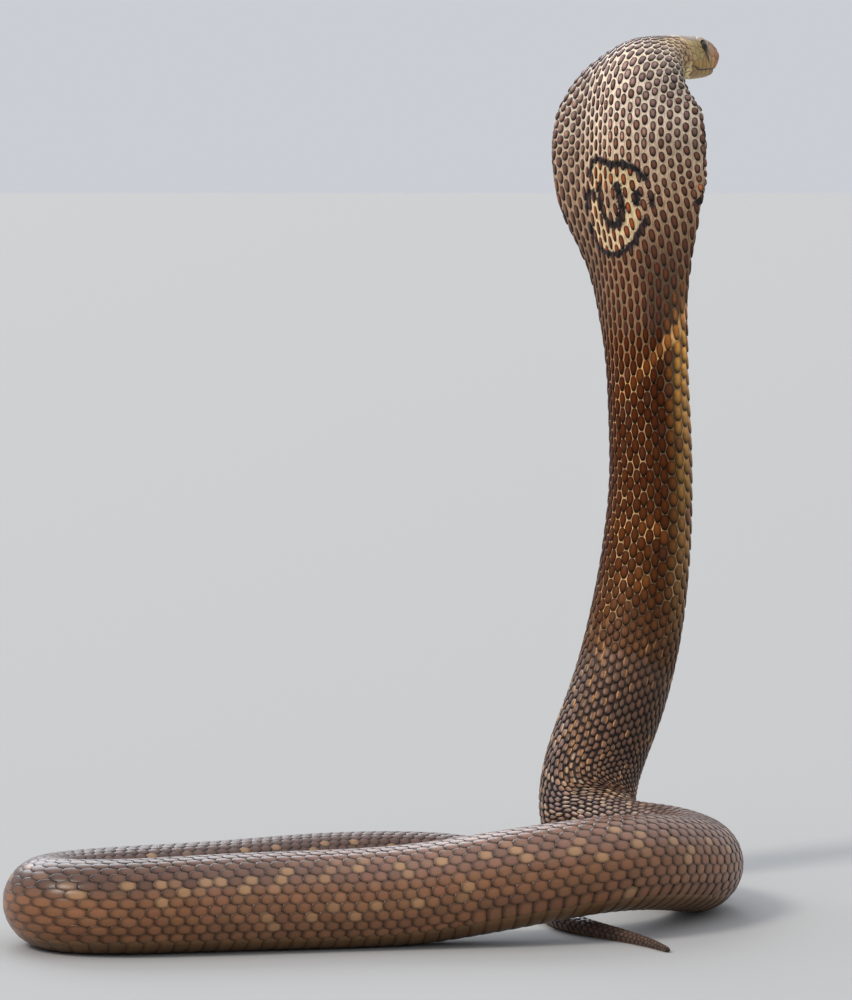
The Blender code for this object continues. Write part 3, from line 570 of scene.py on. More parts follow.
# Head shields: every place belongs to the nearest seed, less the seed's own radius; the border
# between two shields is a groove and each shield swells a little towards its middle.
# Seeds: shield, back from the snout, share of the girth from the back's middle, radius, and 2 for
# one on each side.
shields = {
    "seeds": (
        ("rostral", 0.7, 0.50, 1.4, 1), ("internasal", 3.4, 0.085, 0.3, 2),
        ("prefrontal", 8.6, 0.085, 0.9, 2), ("frontal", 14.4, 0.0, 0.9, 1),
        ("frontal", 18.8, 0.0, 0.2, 1), ("supraocular", 15.6, 0.128, 0.2, 2),
        ("supraocular", 19.6, 0.124, 0.0, 2), ("parietal", 23.4, 0.075, 1.0, 2),
        ("parietal", 26.4, 0.078, 1.1, 2), ("parietal", 28.8, 0.062, 0.4, 2),
        ("nasalFront", 2.9, 0.215, 0.0, 2), ("nasalRear", 6.4, 0.205, 0.0, 2),
        ("preocular", 11.6, 0.190, 0.4, 2), ("postocularHigh", 22.2, 0.160, -0.7, 2),
        ("postocularMid", 22.9, 0.200, -0.7, 2), ("postocularLow", 22.0, 0.240, -0.7, 2),
        ("temporalHigh", 25.4, 0.162, -0.3, 2), ("temporalLow", 25.8, 0.222, -0.1, 2),
        ("temporalRear", 28.4, 0.158, -0.4, 2), ("temporalMid", 28.6, 0.205, -0.4, 2),
        ("temporalEnd", 28.2, 0.250, -0.4, 2),
        ("lipA", 3.0, 0.285, 0.0, 2), ("lipB", 6.4, 0.288, 0.0, 2), ("lipC", 10.4, 0.280, 0.5, 2),
        ("lipD", 14.8, 0.275, 0.7, 2), ("lipE", 19.0, 0.290, 0.3, 2), ("lipF", 22.9, 0.292, 0.4, 2),
        ("lipG", 26.6, 0.296, 0.3, 2),
        ("chinTip", 3.4, 0.50, 0.0, 1), ("lowA", 3.6, 0.415, 0.0, 2), ("lowB", 6.6, 0.400, 0.0, 2),
        ("lowC", 9.8, 0.392, 0.2, 2), ("lowD", 13.4, 0.388, 0.5, 2), ("lowE", 17.4, 0.385, 0.4, 2),
        ("lowF", 21.2, 0.375, 0.2, 2), ("lowG", 24.8, 0.365, 0.2, 2),
        ("chinFront", 8.0, 0.462, 0.8, 2), ("chinRear", 14.4, 0.458, 0.8, 2),
    ),
    "behind": 11,  # places on each side where the small scales press against the last shields
    "groove": 0.18,
    "grooveHalf": 0.27,
    "swell": 0.12,
    "topTones": ((0, (142, 100, 66)), (7, (146, 106, 72)), (13, (146, 122, 100)),
                 (22, (148, 132, 118)), (33, (142, 124, 112))),
    "sideTones": ((0, (140, 104, 68)), (3.0, (146, 98, 54)), (6.0, (158, 92, 42)), (9.5, (184, 140, 98)),
                  (13.0, (176, 134, 88)), (17, (156, 124, 66)), (24, (152, 130, 72)),
                  (31, (166, 142, 92))),
    "lip": (158, 122, 60),
    "chin": (154, 124, 68),
    "throat": (210, 184, 128),
    "border": (84, 54, 28),
    "paleBorder": (216, 196, 160),
    "mouth": (46, 30, 20),
    "streak": (34, 22, 16),
    # painted shade in the sunk socket round each eye
    "lid": (34, 24, 18),
    # painted shade inside the nostrils' holes
    "nostril": (26, 16, 10),
    "socket": (1.6, 2.2, 2.75),  # depth, full and gone from the middle of the eye
    "lidRing": (0.32, 3.1, 0.42),  # height, middle and spread
    "nostrilHole": (1.0, 0.45, 0.95),
    "nostrilRim": (0.15, 1.3, 0.35),
    "endShares": (0.0, 0.12, 0.20, 0.30, 0.40, 0.5),  # from the middle of the back to the throat
    "endLengths": (31.0, 30.6, 29.8, 28.6, 25.0, 18.5),
}


def fromBack(share):  # the share of the girth from the middle of the back, the same on both sides
    return np.abs((share + 0.5) % 1.0 - 0.5)


def placeRound(lengths, share):  # the same as a distance, positive on the left
    return ((share + 0.5) % 1.0 - 0.5) * girthAt(lengths)


def shieldEnd(share):  # where the shields stop and small scales start
    return np.interp(fromBack(share), shields["endShares"], shields["endLengths"])


def shieldCells(points):
    places = []
    radii = []
    owner = []
    for name, s, share, radius, count in shields["seeds"]:
        for sign in ((1.0,) if count == 1 else (1.0, -1.0)):
            places.append((s, sign * share))
            radii.append(radius)
            owner.append(name + ("" if count == 1 else str(sign)))
    rear = (np.arange(2 * shields["behind"]) + 0.5) / (2 * shields["behind"])
    for share in rear:
        places.append((float(shieldEnd(share)) + 3.4, share))
        radii.append(0.0)
        owner.append("~small%.3f" % share)  # sorts after the shields
    names = sorted(set(owner))
    count = sum(not name.startswith("~") for name in names)
    cell = np.array([names.index(name) for name in owner])
    where = np.array(places)
    seeds = onSurface(where[:, 0], where[:, 1], np.zeros(len(where)))
    gap = np.linalg.norm(points[:, None] - seeds[None], axis=2) - np.array(radii)[None]
    reach = np.full((len(points), len(names)), 1e3)
    for index in range(len(names)):
        reach[:, index] = gap[:, cell == index].min(1)
    best = np.argmin(reach, axis=1)
    ordered = np.sort(reach, axis=1)
    inside = (reach[:, count:].min(1) - reach[:, :count].min(1)) / 2.0
    return best, (ordered[:, 1] - ordered[:, 0]) / 2.0, fade(inside, -0.15, 0.15), count


def eyePlace(side):  # centre and outward direction of an eye, as in the solids
    return sidePlace(face["eyeAt"], side, -(face["eyeRadius"] - face["eyeStandsOut"]))


# A place on the side of the head, from its length and its height over the spine, and the way out.
def sidePlace(at, side, raised):
    share = np.linspace(0.03, 0.47, 900)
    share = share if side > 0 else 1.0 - share
    length = np.full(len(share), at[0])
    points = onSurface(length, share, np.zeros(len(share)))
    centre, along, back = frameAt(np.array([at[0]]))[:3]
    best = np.argmin(np.abs((points - centre) @ back[0] - at[1]))
    out = unit(onSurface(length[best:best + 1], share[best:best + 1], np.ones(1))[0] - points[best])
    out = unit(out - (out @ along[0]) * along[0])
    return points[best] + out * raised, out


def putMesh(name, points, faces, tone, gloss):
    mesh = bpy.data.meshes.new(name)
    sizes = np.array([len(block[0]) for block in faces for _ in range(len(block))], np.int32)
    loops = np.concatenate([block.ravel() for block in faces]).astype(np.int32)
    mesh.vertices.add(len(points))
    mesh.vertices.foreach_set("co", inFrame(points).astype(np.float32).ravel())
    mesh.loops.add(len(loops))
    mesh.loops.foreach_set("vertex_index", loops)
    mesh.polygons.add(len(sizes))
    mesh.polygons.foreach_set("loop_start", np.concatenate([[0], np.cumsum(sizes)[:-1]]).astype(np.int32))
    mesh.polygons.foreach_set("loop_total", sizes)
    mesh.update(calc_edges=True)
    mesh.validate()
    colour = mesh.color_attributes.new("tone", "FLOAT_COLOR", "POINT")
    packed = np.concatenate([linear(np.clip(tone, 0, 255)), np.ones((len(points), 1))], 1)
    colour.data.foreach_set("color", packed.astype(np.float32).ravel())
    shine = mesh.attributes.new("gloss", "FLOAT", "POINT")
    shine.data.foreach_set("value", np.asarray(gloss, np.float32))
    made = bpy.data.objects.new(name, mesh)
    bpy.context.scene.collection.objects.link(made)
    mesh.shade_smooth()
    return made, loops


def gridFaces(rows, columns, first=0):  # quads of a grid that closes on itself round the body
    r = np.arange(rows - 1)[:, None]
    c = np.arange(columns)[None]
    here = first + r * columns + c
    after = first + r * columns + (c + 1) % columns
    return np.stack([here, here + columns, after + columns, after], -1).reshape(-1, 4)


# One skin for all the flesh: fine rings over the head, coarser ones behind it, closed at both
# ends. It lies under the solids' surface by the depth of the scales.
skin = {
    "snoutTo": 8.0,
    "snoutRings": 34,
    "headSides": 300,
    "headStep": 0.26,
    "headTo": 36.0,
    "bodySides": 150,
    "hoodTo": 165.0,
    "hoodStep": 0.8,
    "neckTo": 340.0,
    "neckStep": 2.2,
    "bodyStep": 8.0,
    "tailRings": (9.0, 5.0, 3.6, 2.4, 1.4, 0.7, 0.25, 0.06),  # before the tail's end
    "gloss": 0.45,
}


# Shields swell from their grooves; each eye has a sunk ring and a raised lid, and the nostrils are
# small holes with a rim.
def headSurface(lengths, share):
    flat = onSurface(lengths, share, np.zeros(len(lengths)))
    cell, border, on, count = shieldCells(flat)
    groove = -shields["groove"] * bump(border, 0.0, shields["grooveHalf"])
    swell = shields["swell"] * fade(border, 0.0, 1.6)
    raised = groove + on * (swell - 0.06) - (1.0 - on) * 0.12
    sunk, sunkFrom, sunkTo = shields["socket"]
    lid, lidAt, lidSpread = shields["lidRing"]
    hole, holeFrom, holeTo = shields["nostrilHole"]
    rim, rimAt, rimSpread = shields["nostrilRim"]
    for side in (1, -1):
        centre, out = eyePlace(side)
        away = flat - centre
        radial = np.linalg.norm(away - (away @ out)[:, None] * out, axis=1)
        facing = (away @ out) > -1.5
        socket = -sunk * (1.0 - fade(radial, sunkFrom, sunkTo)) + lid * bump(radial, lidAt, lidSpread)
        raised = raised + np.where(facing, socket, 0.0) * (radial < 5.0)
        nostril = sidePlace(face["nostrilAt"], side, 0.0)[0]
        near = np.linalg.norm((flat - nostril) * np.array([1.0, 1.0, 1.1]), axis=1)
        raised = raised - hole * (1.0 - fade(near, holeFrom, holeTo)) + rim * bump(near, rimAt, rimSpread)
    return flat, cell, border, on, raised, count


def headTone(lengths, share, flat, cell, border, on, count):
    around = placeRound(lengths, share)
    centre, along, back = frameAt(lengths)[:3]
    height = ((flat - centre) * back).sum(1) - lipLine(lengths)  # over the mouth line
    part = fromBack(share)
    tone = colourAlong(lengths, shields["topTones"])
    tone = mix(tone, colourAlong(lengths, shields["sideTones"]), fade(part, 0.115, 0.15))
    tone = mix(tone, shields["lip"], fade(part, 0.255, 0.275) * fade(lengths, 8.0, 13.0))
    tone = mix(tone, shields["chin"], fade(-height, 0.0, 1.6))
    tone = mix(tone, shields["throat"], fade(part, 0.40, 0.46))
    shade = np.random.default_rng(5).uniform(0.90, 1.08, (count + 1, 1))
    tone = tone * shade[np.minimum(cell, count)]
    tone = mix(skinTone(lengths, around), tone, on)
    line = mix(np.array(shields["paleBorder"], float), shields["border"], fade(part, 0.10, 0.14))
    tone = mix(tone, line, 0.5 * on * bump(border, 0.0, 0.24))
    mouth = bump(height, 0.0, 0.30) * (1.0 - fade(lengths, 27.5, 30.0)) * (np.abs(around) > 3.0)
    tone = mix(tone, shields["mouth"], 0.9 * mouth)
    across = 13.0 + 0.52 * height  # a dark streak leans from the eye forward to the lip
    streak = bump(lengths, across, 0.45 + 0.09 * np.clip(height, 0.0, 9.0))
    streak = streak * fade(height, 1.0, 5.6) * (1.0 - fade(height, 10.0, 11.5))
    tone = mix(tone, shields["streak"], 0.95 * streak * (part > 0.16))
    for side in (1, -1):
        eye, out = eyePlace(side)
        away = flat - eye
        facing = (away @ out) > -1.5
        radial = np.linalg.norm(away - (away @ out)[:, None] * out, axis=1)
        # painted shade: a dark ring in the sunk socket round the eye
        tone = mix(tone, shields["lid"], 0.92 * facing * (1.0 - fade(radial, 2.7, 3.25)))
        near = np.linalg.norm(flat - sidePlace(face["nostrilAt"], side, 0.0)[0], axis=1)
        # painted shade inside the nostril's hole
        tone = mix(tone, shields["nostril"], 1.0 - fade(near, 0.6, 1.1))
    return tone


# Columns crowd towards the back, where the markings are: the share of the girth is the step round
# the grid less a sine of it.
def crowded(lengths, step):
    crowd = 0.06 + 0.40 * fade(lengths, 34.0, 80.0) - 0.2 * fade(lengths, 330.0, 420.0)
    return step - crowd * np.sin(2.0 * math.pi * step) / (2.0 * math.pi)


def addSkin():
    bowed = 1.0 - np.cos(np.linspace(0.04, 1.0, skin["snoutRings"]) * math.pi / 2.0)
    headLengths = np.concatenate([skin["snoutTo"] * bowed,
                                  np.arange(skin["snoutTo"] + 0.26, skin["headTo"], skin["headStep"])])
    bodyLengths = np.concatenate([np.arange(skin["headTo"] + 0.5, skin["hoodTo"], skin["hoodStep"]),
                                  np.arange(skin["hoodTo"] + 1.0, skin["neckTo"], skin["neckStep"]),
                                  np.arange(skin["neckTo"] + 2.0, total - 12.0, skin["bodyStep"]),
                                  total - np.array(skin["tailRings"])])
    fine = skin["headSides"]
    coarse = skin["bodySides"]
    lengths = np.repeat(headLengths, fine)
    share = crowded(lengths, np.tile(np.arange(fine) / fine, len(headLengths)))
    flat, cell, border, on, raised, count = headSurface(lengths, share)
    headPoints = onSurface(lengths, share, raised - coatDepth(lengths) * (1.0 - on))
    headTones = headTone(lengths, share, flat, cell, border, on, count)
    lengths = np.repeat(bodyLengths, coarse)
    share = crowded(lengths, np.tile(np.arange(coarse) / coarse, len(bodyLengths)))
    bodyPoints = onSurface(lengths, share, -coatDepth(lengths))
    bodyTones = skinTone(lengths, placeRound(lengths, share))
    first = len(headPoints)
    last = first + len(bodyPoints)
    points = np.concatenate([headPoints, bodyPoints, headPoints[:fine].mean(0)[None],
                             bodyPoints[-coarse:].mean(0)[None]])
    lastRing = (len(headLengths) - 1) * fine
    step = np.arange(coarse)
    near = lastRing + 2 * step  # the coarse rings start from every second place of the fine ones
    after = lastRing + (2 * step + 2) % fine
    low = first + step
    lowAfter = first + (step + 1) % coarse
    stitch = np.concatenate([np.stack([near, low, near + 1], 1), np.stack([near + 1, low, lowAfter], 1),
                             np.stack([near + 1, lowAfter, after], 1)])
    ring = np.arange(fine)
    nose = np.stack([np.full(fine, last), ring, (ring + 1) % fine], 1)
    ring = last - coarse + step
    tail = np.stack([np.full(coarse, last + 1), last - coarse + (step + 1) % coarse, ring], 1)
    faces = [gridFaces(len(headLengths), fine), gridFaces(len(bodyLengths), coarse, first),
             np.concatenate([stitch, nose, tail])]
    tone = np.concatenate([headTones, bodyTones, headTones[:1], bodyTones[-1:]])
    made = putMesh("skin", points, faces, tone, np.full(len(points), skin["gloss"]))[0]
    made.data.materials.append(toneMaterial("headShields", finishes["shields"]))
    made.data.materials.append(toneMaterial("skinBetweenScales", finishes["skin"]))
    behind = np.concatenate([np.zeros(lastRing, np.int32),
                             np.ones((len(bodyLengths) - 1) * coarse + 3 * coarse, np.int32),
                             np.zeros(fine, np.int32), np.ones(coarse, np.int32)])
    made.data.polygons.foreach_set("material_index", behind)
    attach(made, "root")
    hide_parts("head", "hood", "neck_upper", "neck_lower", "base", "right_bend", "front_right",
                "front_left", "left_bend", "back_left", "back_right", "tail_root", "tail_middle",
                "tail_end")
    print("skin:", len(made.data.polygons), "faces")


# Finishes: roughness when dull and when wet, scale and depth of the pits, mottle as the scale, the
# amount and half the range of the noise, and specular level; some have a wet coat, or a stretch
# under 1 that draws the grain out along z.
finishes = {
    "shields": {"rough": (0.5, 0.3), "pits": (900.0, 0.00008), "mottle": (320.0, 0.12, 0.5),
                "specular": 0.42},
    "skin": {"rough": (0.62, 0.40), "pits": (1500.0, 0.0004), "mottle": (1500.0, 0.26, 0.13),
             "specular": 0.12, "stretch": 0.14},
    "scales": {"rough": (0.52, 0.24), "pits": (2600.0, 0.00006), "mottle": (700.0, 0.12, 0.5)},
    "belly": {"rough": (0.5, 0.28), "pits": (1800.0, 0.00006), "mottle": (400.0, 0.08, 0.5),
              "specular": 0.25},
    "eye": {"rough": (0.2, 0.06), "pits": (900.0, 0.00001), "mottle": (900.0, 0.1, 0.5),
            "specular": 0.22, "wet": 0.30},
}


def addNode(nodes, kind, inputs):  # a shader node with the numbers of its inputs set
    made = nodes.new("ShaderNode" + kind)
    for name, value in inputs.items():
        made.inputs[name].default_value = value
    return made


# Colour is the tone attribute times a mottle of noise; the gloss attribute, 0 to 1, runs the
# roughness from the dull to the wet look.
def toneMaterial(name, finish):
    mottle, amount, spread = finish["mottle"]
    made = bpy.data.materials.new(name)
    made.use_nodes = True
    nodes = made.node_tree.nodes
    shader = nodes["Principled BSDF"]
    tone = addNode(nodes, "Attribute", {})
    tone.attribute_name = "tone"
    gloss = addNode(nodes, "Attribute", {})
    gloss.attribute_name = "gloss"
    place = addNode(nodes, "TexCoord", {})
    drawn = addNode(nodes, "VectorMath", {1: (1.0, 1.0, finish.get("stretch", 1.0))})
    drawn.operation = "MULTIPLY"
    grain = addNode(nodes, "TexNoise", {"Scale": mottle, "Detail": 4.0})
    span = addNode(nodes, "MapRange", {"From Min": 0.5 - spread, "From Max": 0.5 + spread,
                                       "To Min": 1.0 - amount, "To Max": 1.0 + amount})
    shade = addNode(nodes, "VectorMath", {})
    shade.operation = "SCALE"
    polish = addNode(nodes, "MapRange", {"To Min": finish["rough"][0], "To Max": finish["rough"][1]})
    pits = addNode(nodes, "TexNoise", {"Scale": finish["pits"][0], "Detail": 3.0})
    relief = addNode(nodes, "Bump", {"Strength": 0.5, "Distance": finish["pits"][1]})
    joins = (
        (place, "Object", drawn, 0),
        (drawn, "Vector", grain, "Vector"),
        (grain, "Fac", span, "Value"),
        (tone, "Color", shade, 0),
        (span, "Result", shade, "Scale"),
        (shade, "Vector", shader, "Base Color"),
        (gloss, "Fac", polish, "Value"),
        (polish, "Result", shader, "Roughness"),
        (drawn, "Vector", pits, "Vector"),
        (pits, "Fac", relief, "Height"),
        (relief, "Normal", shader, "Normal"),
    )
    for source, output, target, socket in joins:
        made.node_tree.links.new(source.outputs[output], target.inputs[socket])
    shader.inputs["Specular IOR Level"].default_value = finish["specular"]
    shader.inputs["Coat Weight"].default_value = finish.get("wet", 0.0)
    shader.inputs["Coat Roughness"].default_value = 0.03
    return made


# Scales. Each is a closed low dome on an oval, hexagonal or spindle outline: its height over the
# skin is a tilt that rises to the free rear edge, plus a dome that falls off from the middle.
# Tables run along the body.
coat = {
    "pitch": ((18, 3.2), (28, 3.6), (36, 4.2), (46, 4.6), (62, 5.1), (85, 5.3), (100, 5.8), (115, 6.6),
              (130, 7.3), (150, 7.7), (300, 7.6), (335, 7.0), (365, 5.6), (400, 5.0), (440, 4.8),
              (470, 5.0), (510, 5.8), (560, 6.4), (900, 6.3), (1110, 5.6), (1200, 4.4), (1260, 3.3),
              (1302, 2.2)),
    "spacing": ((18, 2.5), (28, 2.9), (36, 3.0), (46, 2.9), (62, 2.85), (80, 2.8), (100, 2.8), (120, 3.05),
                (140, 3.4), (160, 3.55), (183, 3.38), (255, 3.40), (300, 3.75), (340, 3.8), (370, 3.5),
                (400, 3.2), (440, 2.4), (470, 2.8), (510, 4.0), (560, 4.4), (700, 4.5), (900, 3.9),
                (1050, 3.6), (1150, 3.0), (1250, 2.0), (1302, 1.2)),
    "fan": ((44, 0.0), (66, 0.9), (105, 1.0), (130, 0.55), (150, 0.2), (175, 0.0), (1302, 0.0)),
    "fanReach": 22.0,
    "fanRight": 0.4,  # the right side of the hood fans out less
    "pinch": ((320, 0.0), (360, 0.22), (430, 0.30), (470, 0.0), (1302, 0.0)),
    "loose": ((30, 0.04), (70, 0.08), (140, 0.07), (180, 0.03), (360, 0.04), (430, 0.10), (480, 0.04),
              (1302, 0.03)),
    "uneven": ((30, 0.10), (70, 0.13), (150, 0.10), (200, 0.05), (330, 0.08), (390, 0.16), (450, 0.16),
               (520, 0.07), (1302, 0.07)),
    "width": ((18, 1.0), (28, 1.0), (48, 0.94), (62, 0.86), (85, 0.76), (105, 0.70), (118, 0.66),
              (142, 0.70), (155, 0.72), (176, 0.74), (190, 0.88), (206, 1.12), (215, 1.20), (330, 1.20),
              (355, 1.10), (385, 0.98), (440, 0.88), (470, 0.9), (500, 1.28), (1302, 1.34)),
    "spindle": ((30, 0.0), (150, 0.3), (190, 1.0), (335, 1.0), (370, 0.3), (390, 0.0), (1302, 0.0)),
    "spindleEnd": 0.42,  # how much narrower than its middle such a scale is at its ends
    "flankGrow": ((160, 0.0), (194, 0.85), (290, 0.80), (345, 0.0), (1302, 0.0)),
    "flankFrom": 17.0,
    "flankEase": 7.0,
    "long": ((18, 1.0), (28, 1.0), (48, 0.95), (80, 0.87), (105, 0.84), (120, 0.84), (142, 0.86),
             (160, 0.92), (200, 0.99), (300, 1.0), (370, 0.98), (450, 1.02), (490, 1.18), (1302, 1.20)),
    "hexagon": ((20, 0.8), (50, 0.8), (72, 0.3), (120, 0.2), (155, 0.7), (190, 1.0), (360, 1.0),
                (420, 0.5), (480, 0.6), (1302, 0.6)),
    "power": ((30, 2.2), (150, 2.2), (420, 2.1), (500, 1.9), (1302, 1.9)),
    "steep": ((30, 3.0), (90, 4.0), (150, 3.4), (330, 3.2), (420, 2.8), (500, 2.6), (1302, 2.6)),
    "dome": ((30, 0.40), (80, 0.55), (150, 0.44), (195, 0.32), (320, 0.32), (380, 0.48), (450, 0.40),
             (500, 0.24), (1302, 0.24)),
    "tilt": ((30, 0.22), (150, 0.22), (310, 0.22), (400, 0.34), (500, 0.38), (1302, 0.38)),
    # painted highlight in the middle of each scale, and next below it painted shade along its outline
    "core": ((30, 0.10), (60, 0.34), (110, 0.40), (150, 0.26), (330, 0.16), (430, 0.16), (480, 0.0),
             (1302, 0.0)),
    "paintedRimShade": ((30, 0.20), (60, 0.52), (100, 0.62), (150, 0.50), (200, 0.36), (330, 0.36), (370, 0.58),
                (440, 0.56), (500, 0.34), (1302, 0.36)),
    "gloss": ((30, 0.55), (150, 0.55), (310, 0.50), (350, 0.35), (400, 0.65), (430, 0.75), (500, 0.85),
              (1302, 0.85)),
    "belly": ((44, 0.0), (50, 5.0), (64, 14.0), (80, 17.0), (180, 16.5), (300, 18.3), (400, 19.6),
              (500, 18.5), (700, 19.0), (900, 16.7), (1050, 14.6), (1150, 9.8), (1250, 3.2),
              (1302, 1.0)),
    "flank": ((80, 0.0), (150, 0.3), (190, 1.0), (290, 0.9), (345, 0.3), (420, 0.0)),
    "flankNarrow": 0.14,
    "outerLeft": ((52, 0.0), (64, 1.0), (115, 1.0), (150, 0.0)),
    "outerWiden": 0.34,  # how much wider the scales of the hood's left edge are
    "redder": ((70, 0.0), (86, 0.40), (150, 0.45), (180, 0.20), (300, 0.0)),  # share of the scales
    "redTone": (70, 38, 26),
    "paleEdge": ((60, 0.0), (200, 0.05), (325, 0.25), (350, 0.75), (465, 0.85), (485, 0.0)),
    "paleLikely": ((330, 0.12), (380, 0.20), (430, 0.42), (480, 0.55)),
    "ridge": ((325, 0.0), (345, 1.0), (440, 1.0), (460, 0.0)),  # more pale edges along this line
    "ridgeAt": ((330, 0.0), (400, -5.0), (450, -8.0)),
    "cream": (222.0, 190.0, 148.0),
    "warmCream": (0.96, 0.82, 0.64),
    # painted highlight at the front end of each scale and painted shade at its rear end
    "front": ((30, 0.08), (60, 0.36), (120, 0.40), (190, 0.34), (330, 0.26), (420, 0.05), (500, 0.0)),
    "rear": ((30, 0.15), (60, 0.44), (110, 0.52), (150, 0.44), (200, 0.34), (400, 0.15), (480, 0.16),
             (1302, 0.16)),
    "dashed": ((405, 0.0), (436, 0.34), (470, 0.34), (488, 0.0)),  # share with a cream dash
    "dashTone": (190.0, 168.0, 138.0),
    "shine": {"hoodScales": 0.24, "neckScales": 0.08, "baseScales": 0.27, "frontScales": 0.32,
              "backScales": 0.22, "tailScales": 0.12},
    "rows": (-30, 27),  # the first, on the right, and one past the last
    "sectors": 16,
    "patch": 0.0015,  # half the width of a scale's patch in the bake map
}
chance = np.random.default_rng(23)


def countRows():  # how many scales lie in a row between the snout and each length
    fine = np.arange(0.0, total + 1.0, 0.5)
    count = np.concatenate([[0.0], np.cumsum(0.5 / readTable(fine[:-1] + 0.25, coat["pitch"]))])
    return fine, count


fineLengths, fineCount = countRows()


def lengthOfRow(number):
    return np.interp(number, fineCount, fineLengths)


# Where a row runs round the body: its number times the row spacing. On the hood the spacing grows
# outwards by up to 1 + fan; on the right of the neck's base the rows crowd by the pinch.
def rowPlace(k, lengths):
    flat = k * readTable(lengths, coat["spacing"])
    grown = flat ** 2 / (flat ** 2 + coat["fanReach"] ** 2) * np.where(flat < 0.0, coat["fanRight"], 1.0)
    place = flat * (1.0 + readTable(lengths, coat["fan"]) * grown)
    over = np.maximum(np.abs(flat) - coat["flankFrom"], 0.0)
    over = over ** 2 / (over + coat["flankEase"])
    place = place + np.sign(flat) * over * readTable(lengths, coat["flankGrow"])
    pinch = readTable(lengths, coat["pinch"])
    place = np.where(place < -6.0, -6.0 + (place + 6.0) * (1.0 - pinch), place)
    return place + leanAt(lengths)


def scaleLattice():
    rows = np.arange(*coat["rows"])
    steps = np.arange(0, int(fineCount[-1]) + 1)
    k, j = np.meshgrid(rows, steps, indexing="ij")
    number = j + 0.5 * (np.abs(k) % 2)
    s = lengthOfRow(number.ravel())
    k = k.ravel()
    around = rowPlace(k, s)
    gap = rowPlace(k + 0.5, s) - rowPlace(k - 0.5, s)
    half = girthAt(s) / 2.0
    share = around / (2.0 * half)
    free = np.abs(around - leanAt(s)) + 0.35 * gap < half - readTable(s, coat["belly"])
    free &= (s > shieldEnd(share) + 0.9) & (s < total - 1.2)
    return s[free], around[free], k[free]


# Pale scales of the rear length, in two wandering lines.
rearSpots = {
    "count": 24,
    "from": 858.0,
    "step": 9.5,
    "place": 15.0,
    "wander": 4.0,
}


def spotShare(s, around):  # 1 for a pale scale of the ground lengths, also on the hidden side
    share = np.zeros(len(s))
    for length, place in spots:
        share = np.maximum(share, 1.0 - fade(np.hypot(s - length, around - place), 2.6, 3.9))
        share = np.maximum(share, 1.0 - fade(np.hypot(s - length - 4.0, around + place), 2.4, 3.6))
    for number in range(rearSpots["count"]):
        length = rearSpots["from"] + rearSpots["step"] * number
        place = rearSpots["place"] + rearSpots["wander"] * math.sin(3.7 * number)
        for side in (-1.0, 1.0):
            gap = np.hypot(s - length - 3.0 * side, around - side * place)
            share = np.maximum(share, 1.0 - fade(gap, 1.6, 3.0))
    return share


# Places and sizes of a piece's scales, each a little off the even rows: length is the pitch times a
# table, width is the distance between rows times a table.
def sizeScales(s, around, k):
    n = len(s)
    spacing = rowPlace(k + 0.5, s) - rowPlace(k - 0.5, s)
    fanned = np.clip(spacing / readTable(s, coat["spacing"]), 0.8, 1.6)
    pitch = readTable(s, coat["pitch"])
    uneven = readTable(s, coat["uneven"])
    loose = readTable(s, coat["loose"])
    wide = spacing * readTable(s, coat["width"]) * (1.0 + uneven * chance.uniform(-1.0, 1.0, n))
    long = pitch * readTable(s, coat["long"]) * (1.0 + 0.7 * uneven * chance.uniform(-1.0, 1.0, n))
    flank = fade(np.abs(around - leanAt(s)) / (girthAt(s) / 2.0), 0.36, 0.52)
    flank = flank * readTable(s, coat["flank"])
    wide = wide * (1.0 - coat["flankNarrow"] * flank)
    wide = wide * (1.0 + coat["outerWiden"] * fade(around, 14.0, 32.0) * readTable(s, coat["outerLeft"]))
    ringed = bump(s, 90.0, 20.0) * bump(around, -9.0, 14.0)  # inside the hood's mark
    s = s + chance.uniform(-1.0, 1.0, n) * loose * pitch
    around = rowPlace(k, s)
    shift = chance.uniform(-1.0, 1.0, n) * loose * spacing
    # the lowest row widens until it reaches under the belly scutes
    edge = girthAt(s) / 2.0 - readTable(s, coat["belly"])
    side = around - leanAt(s)
    room = edge - np.abs(side)
    lowest = (room < 1.36 * spacing) & (room > 0.2 * spacing) & (s > 60.0)
    inner = np.abs(side) - wide / 2.0
    outer = np.where(lowest, edge + 0.7, inner + wide)
    shift = np.where(lowest, np.sign(side) * ((inner + outer) / 2.0 - np.abs(side)), shift)
    return {"s": s, "around": around, "k": k, "shift": shift, "long": long, "wide": outer - inner,
            "flank": flank, "fanned": fanned, "ringed": ringed, "uneven": uneven}


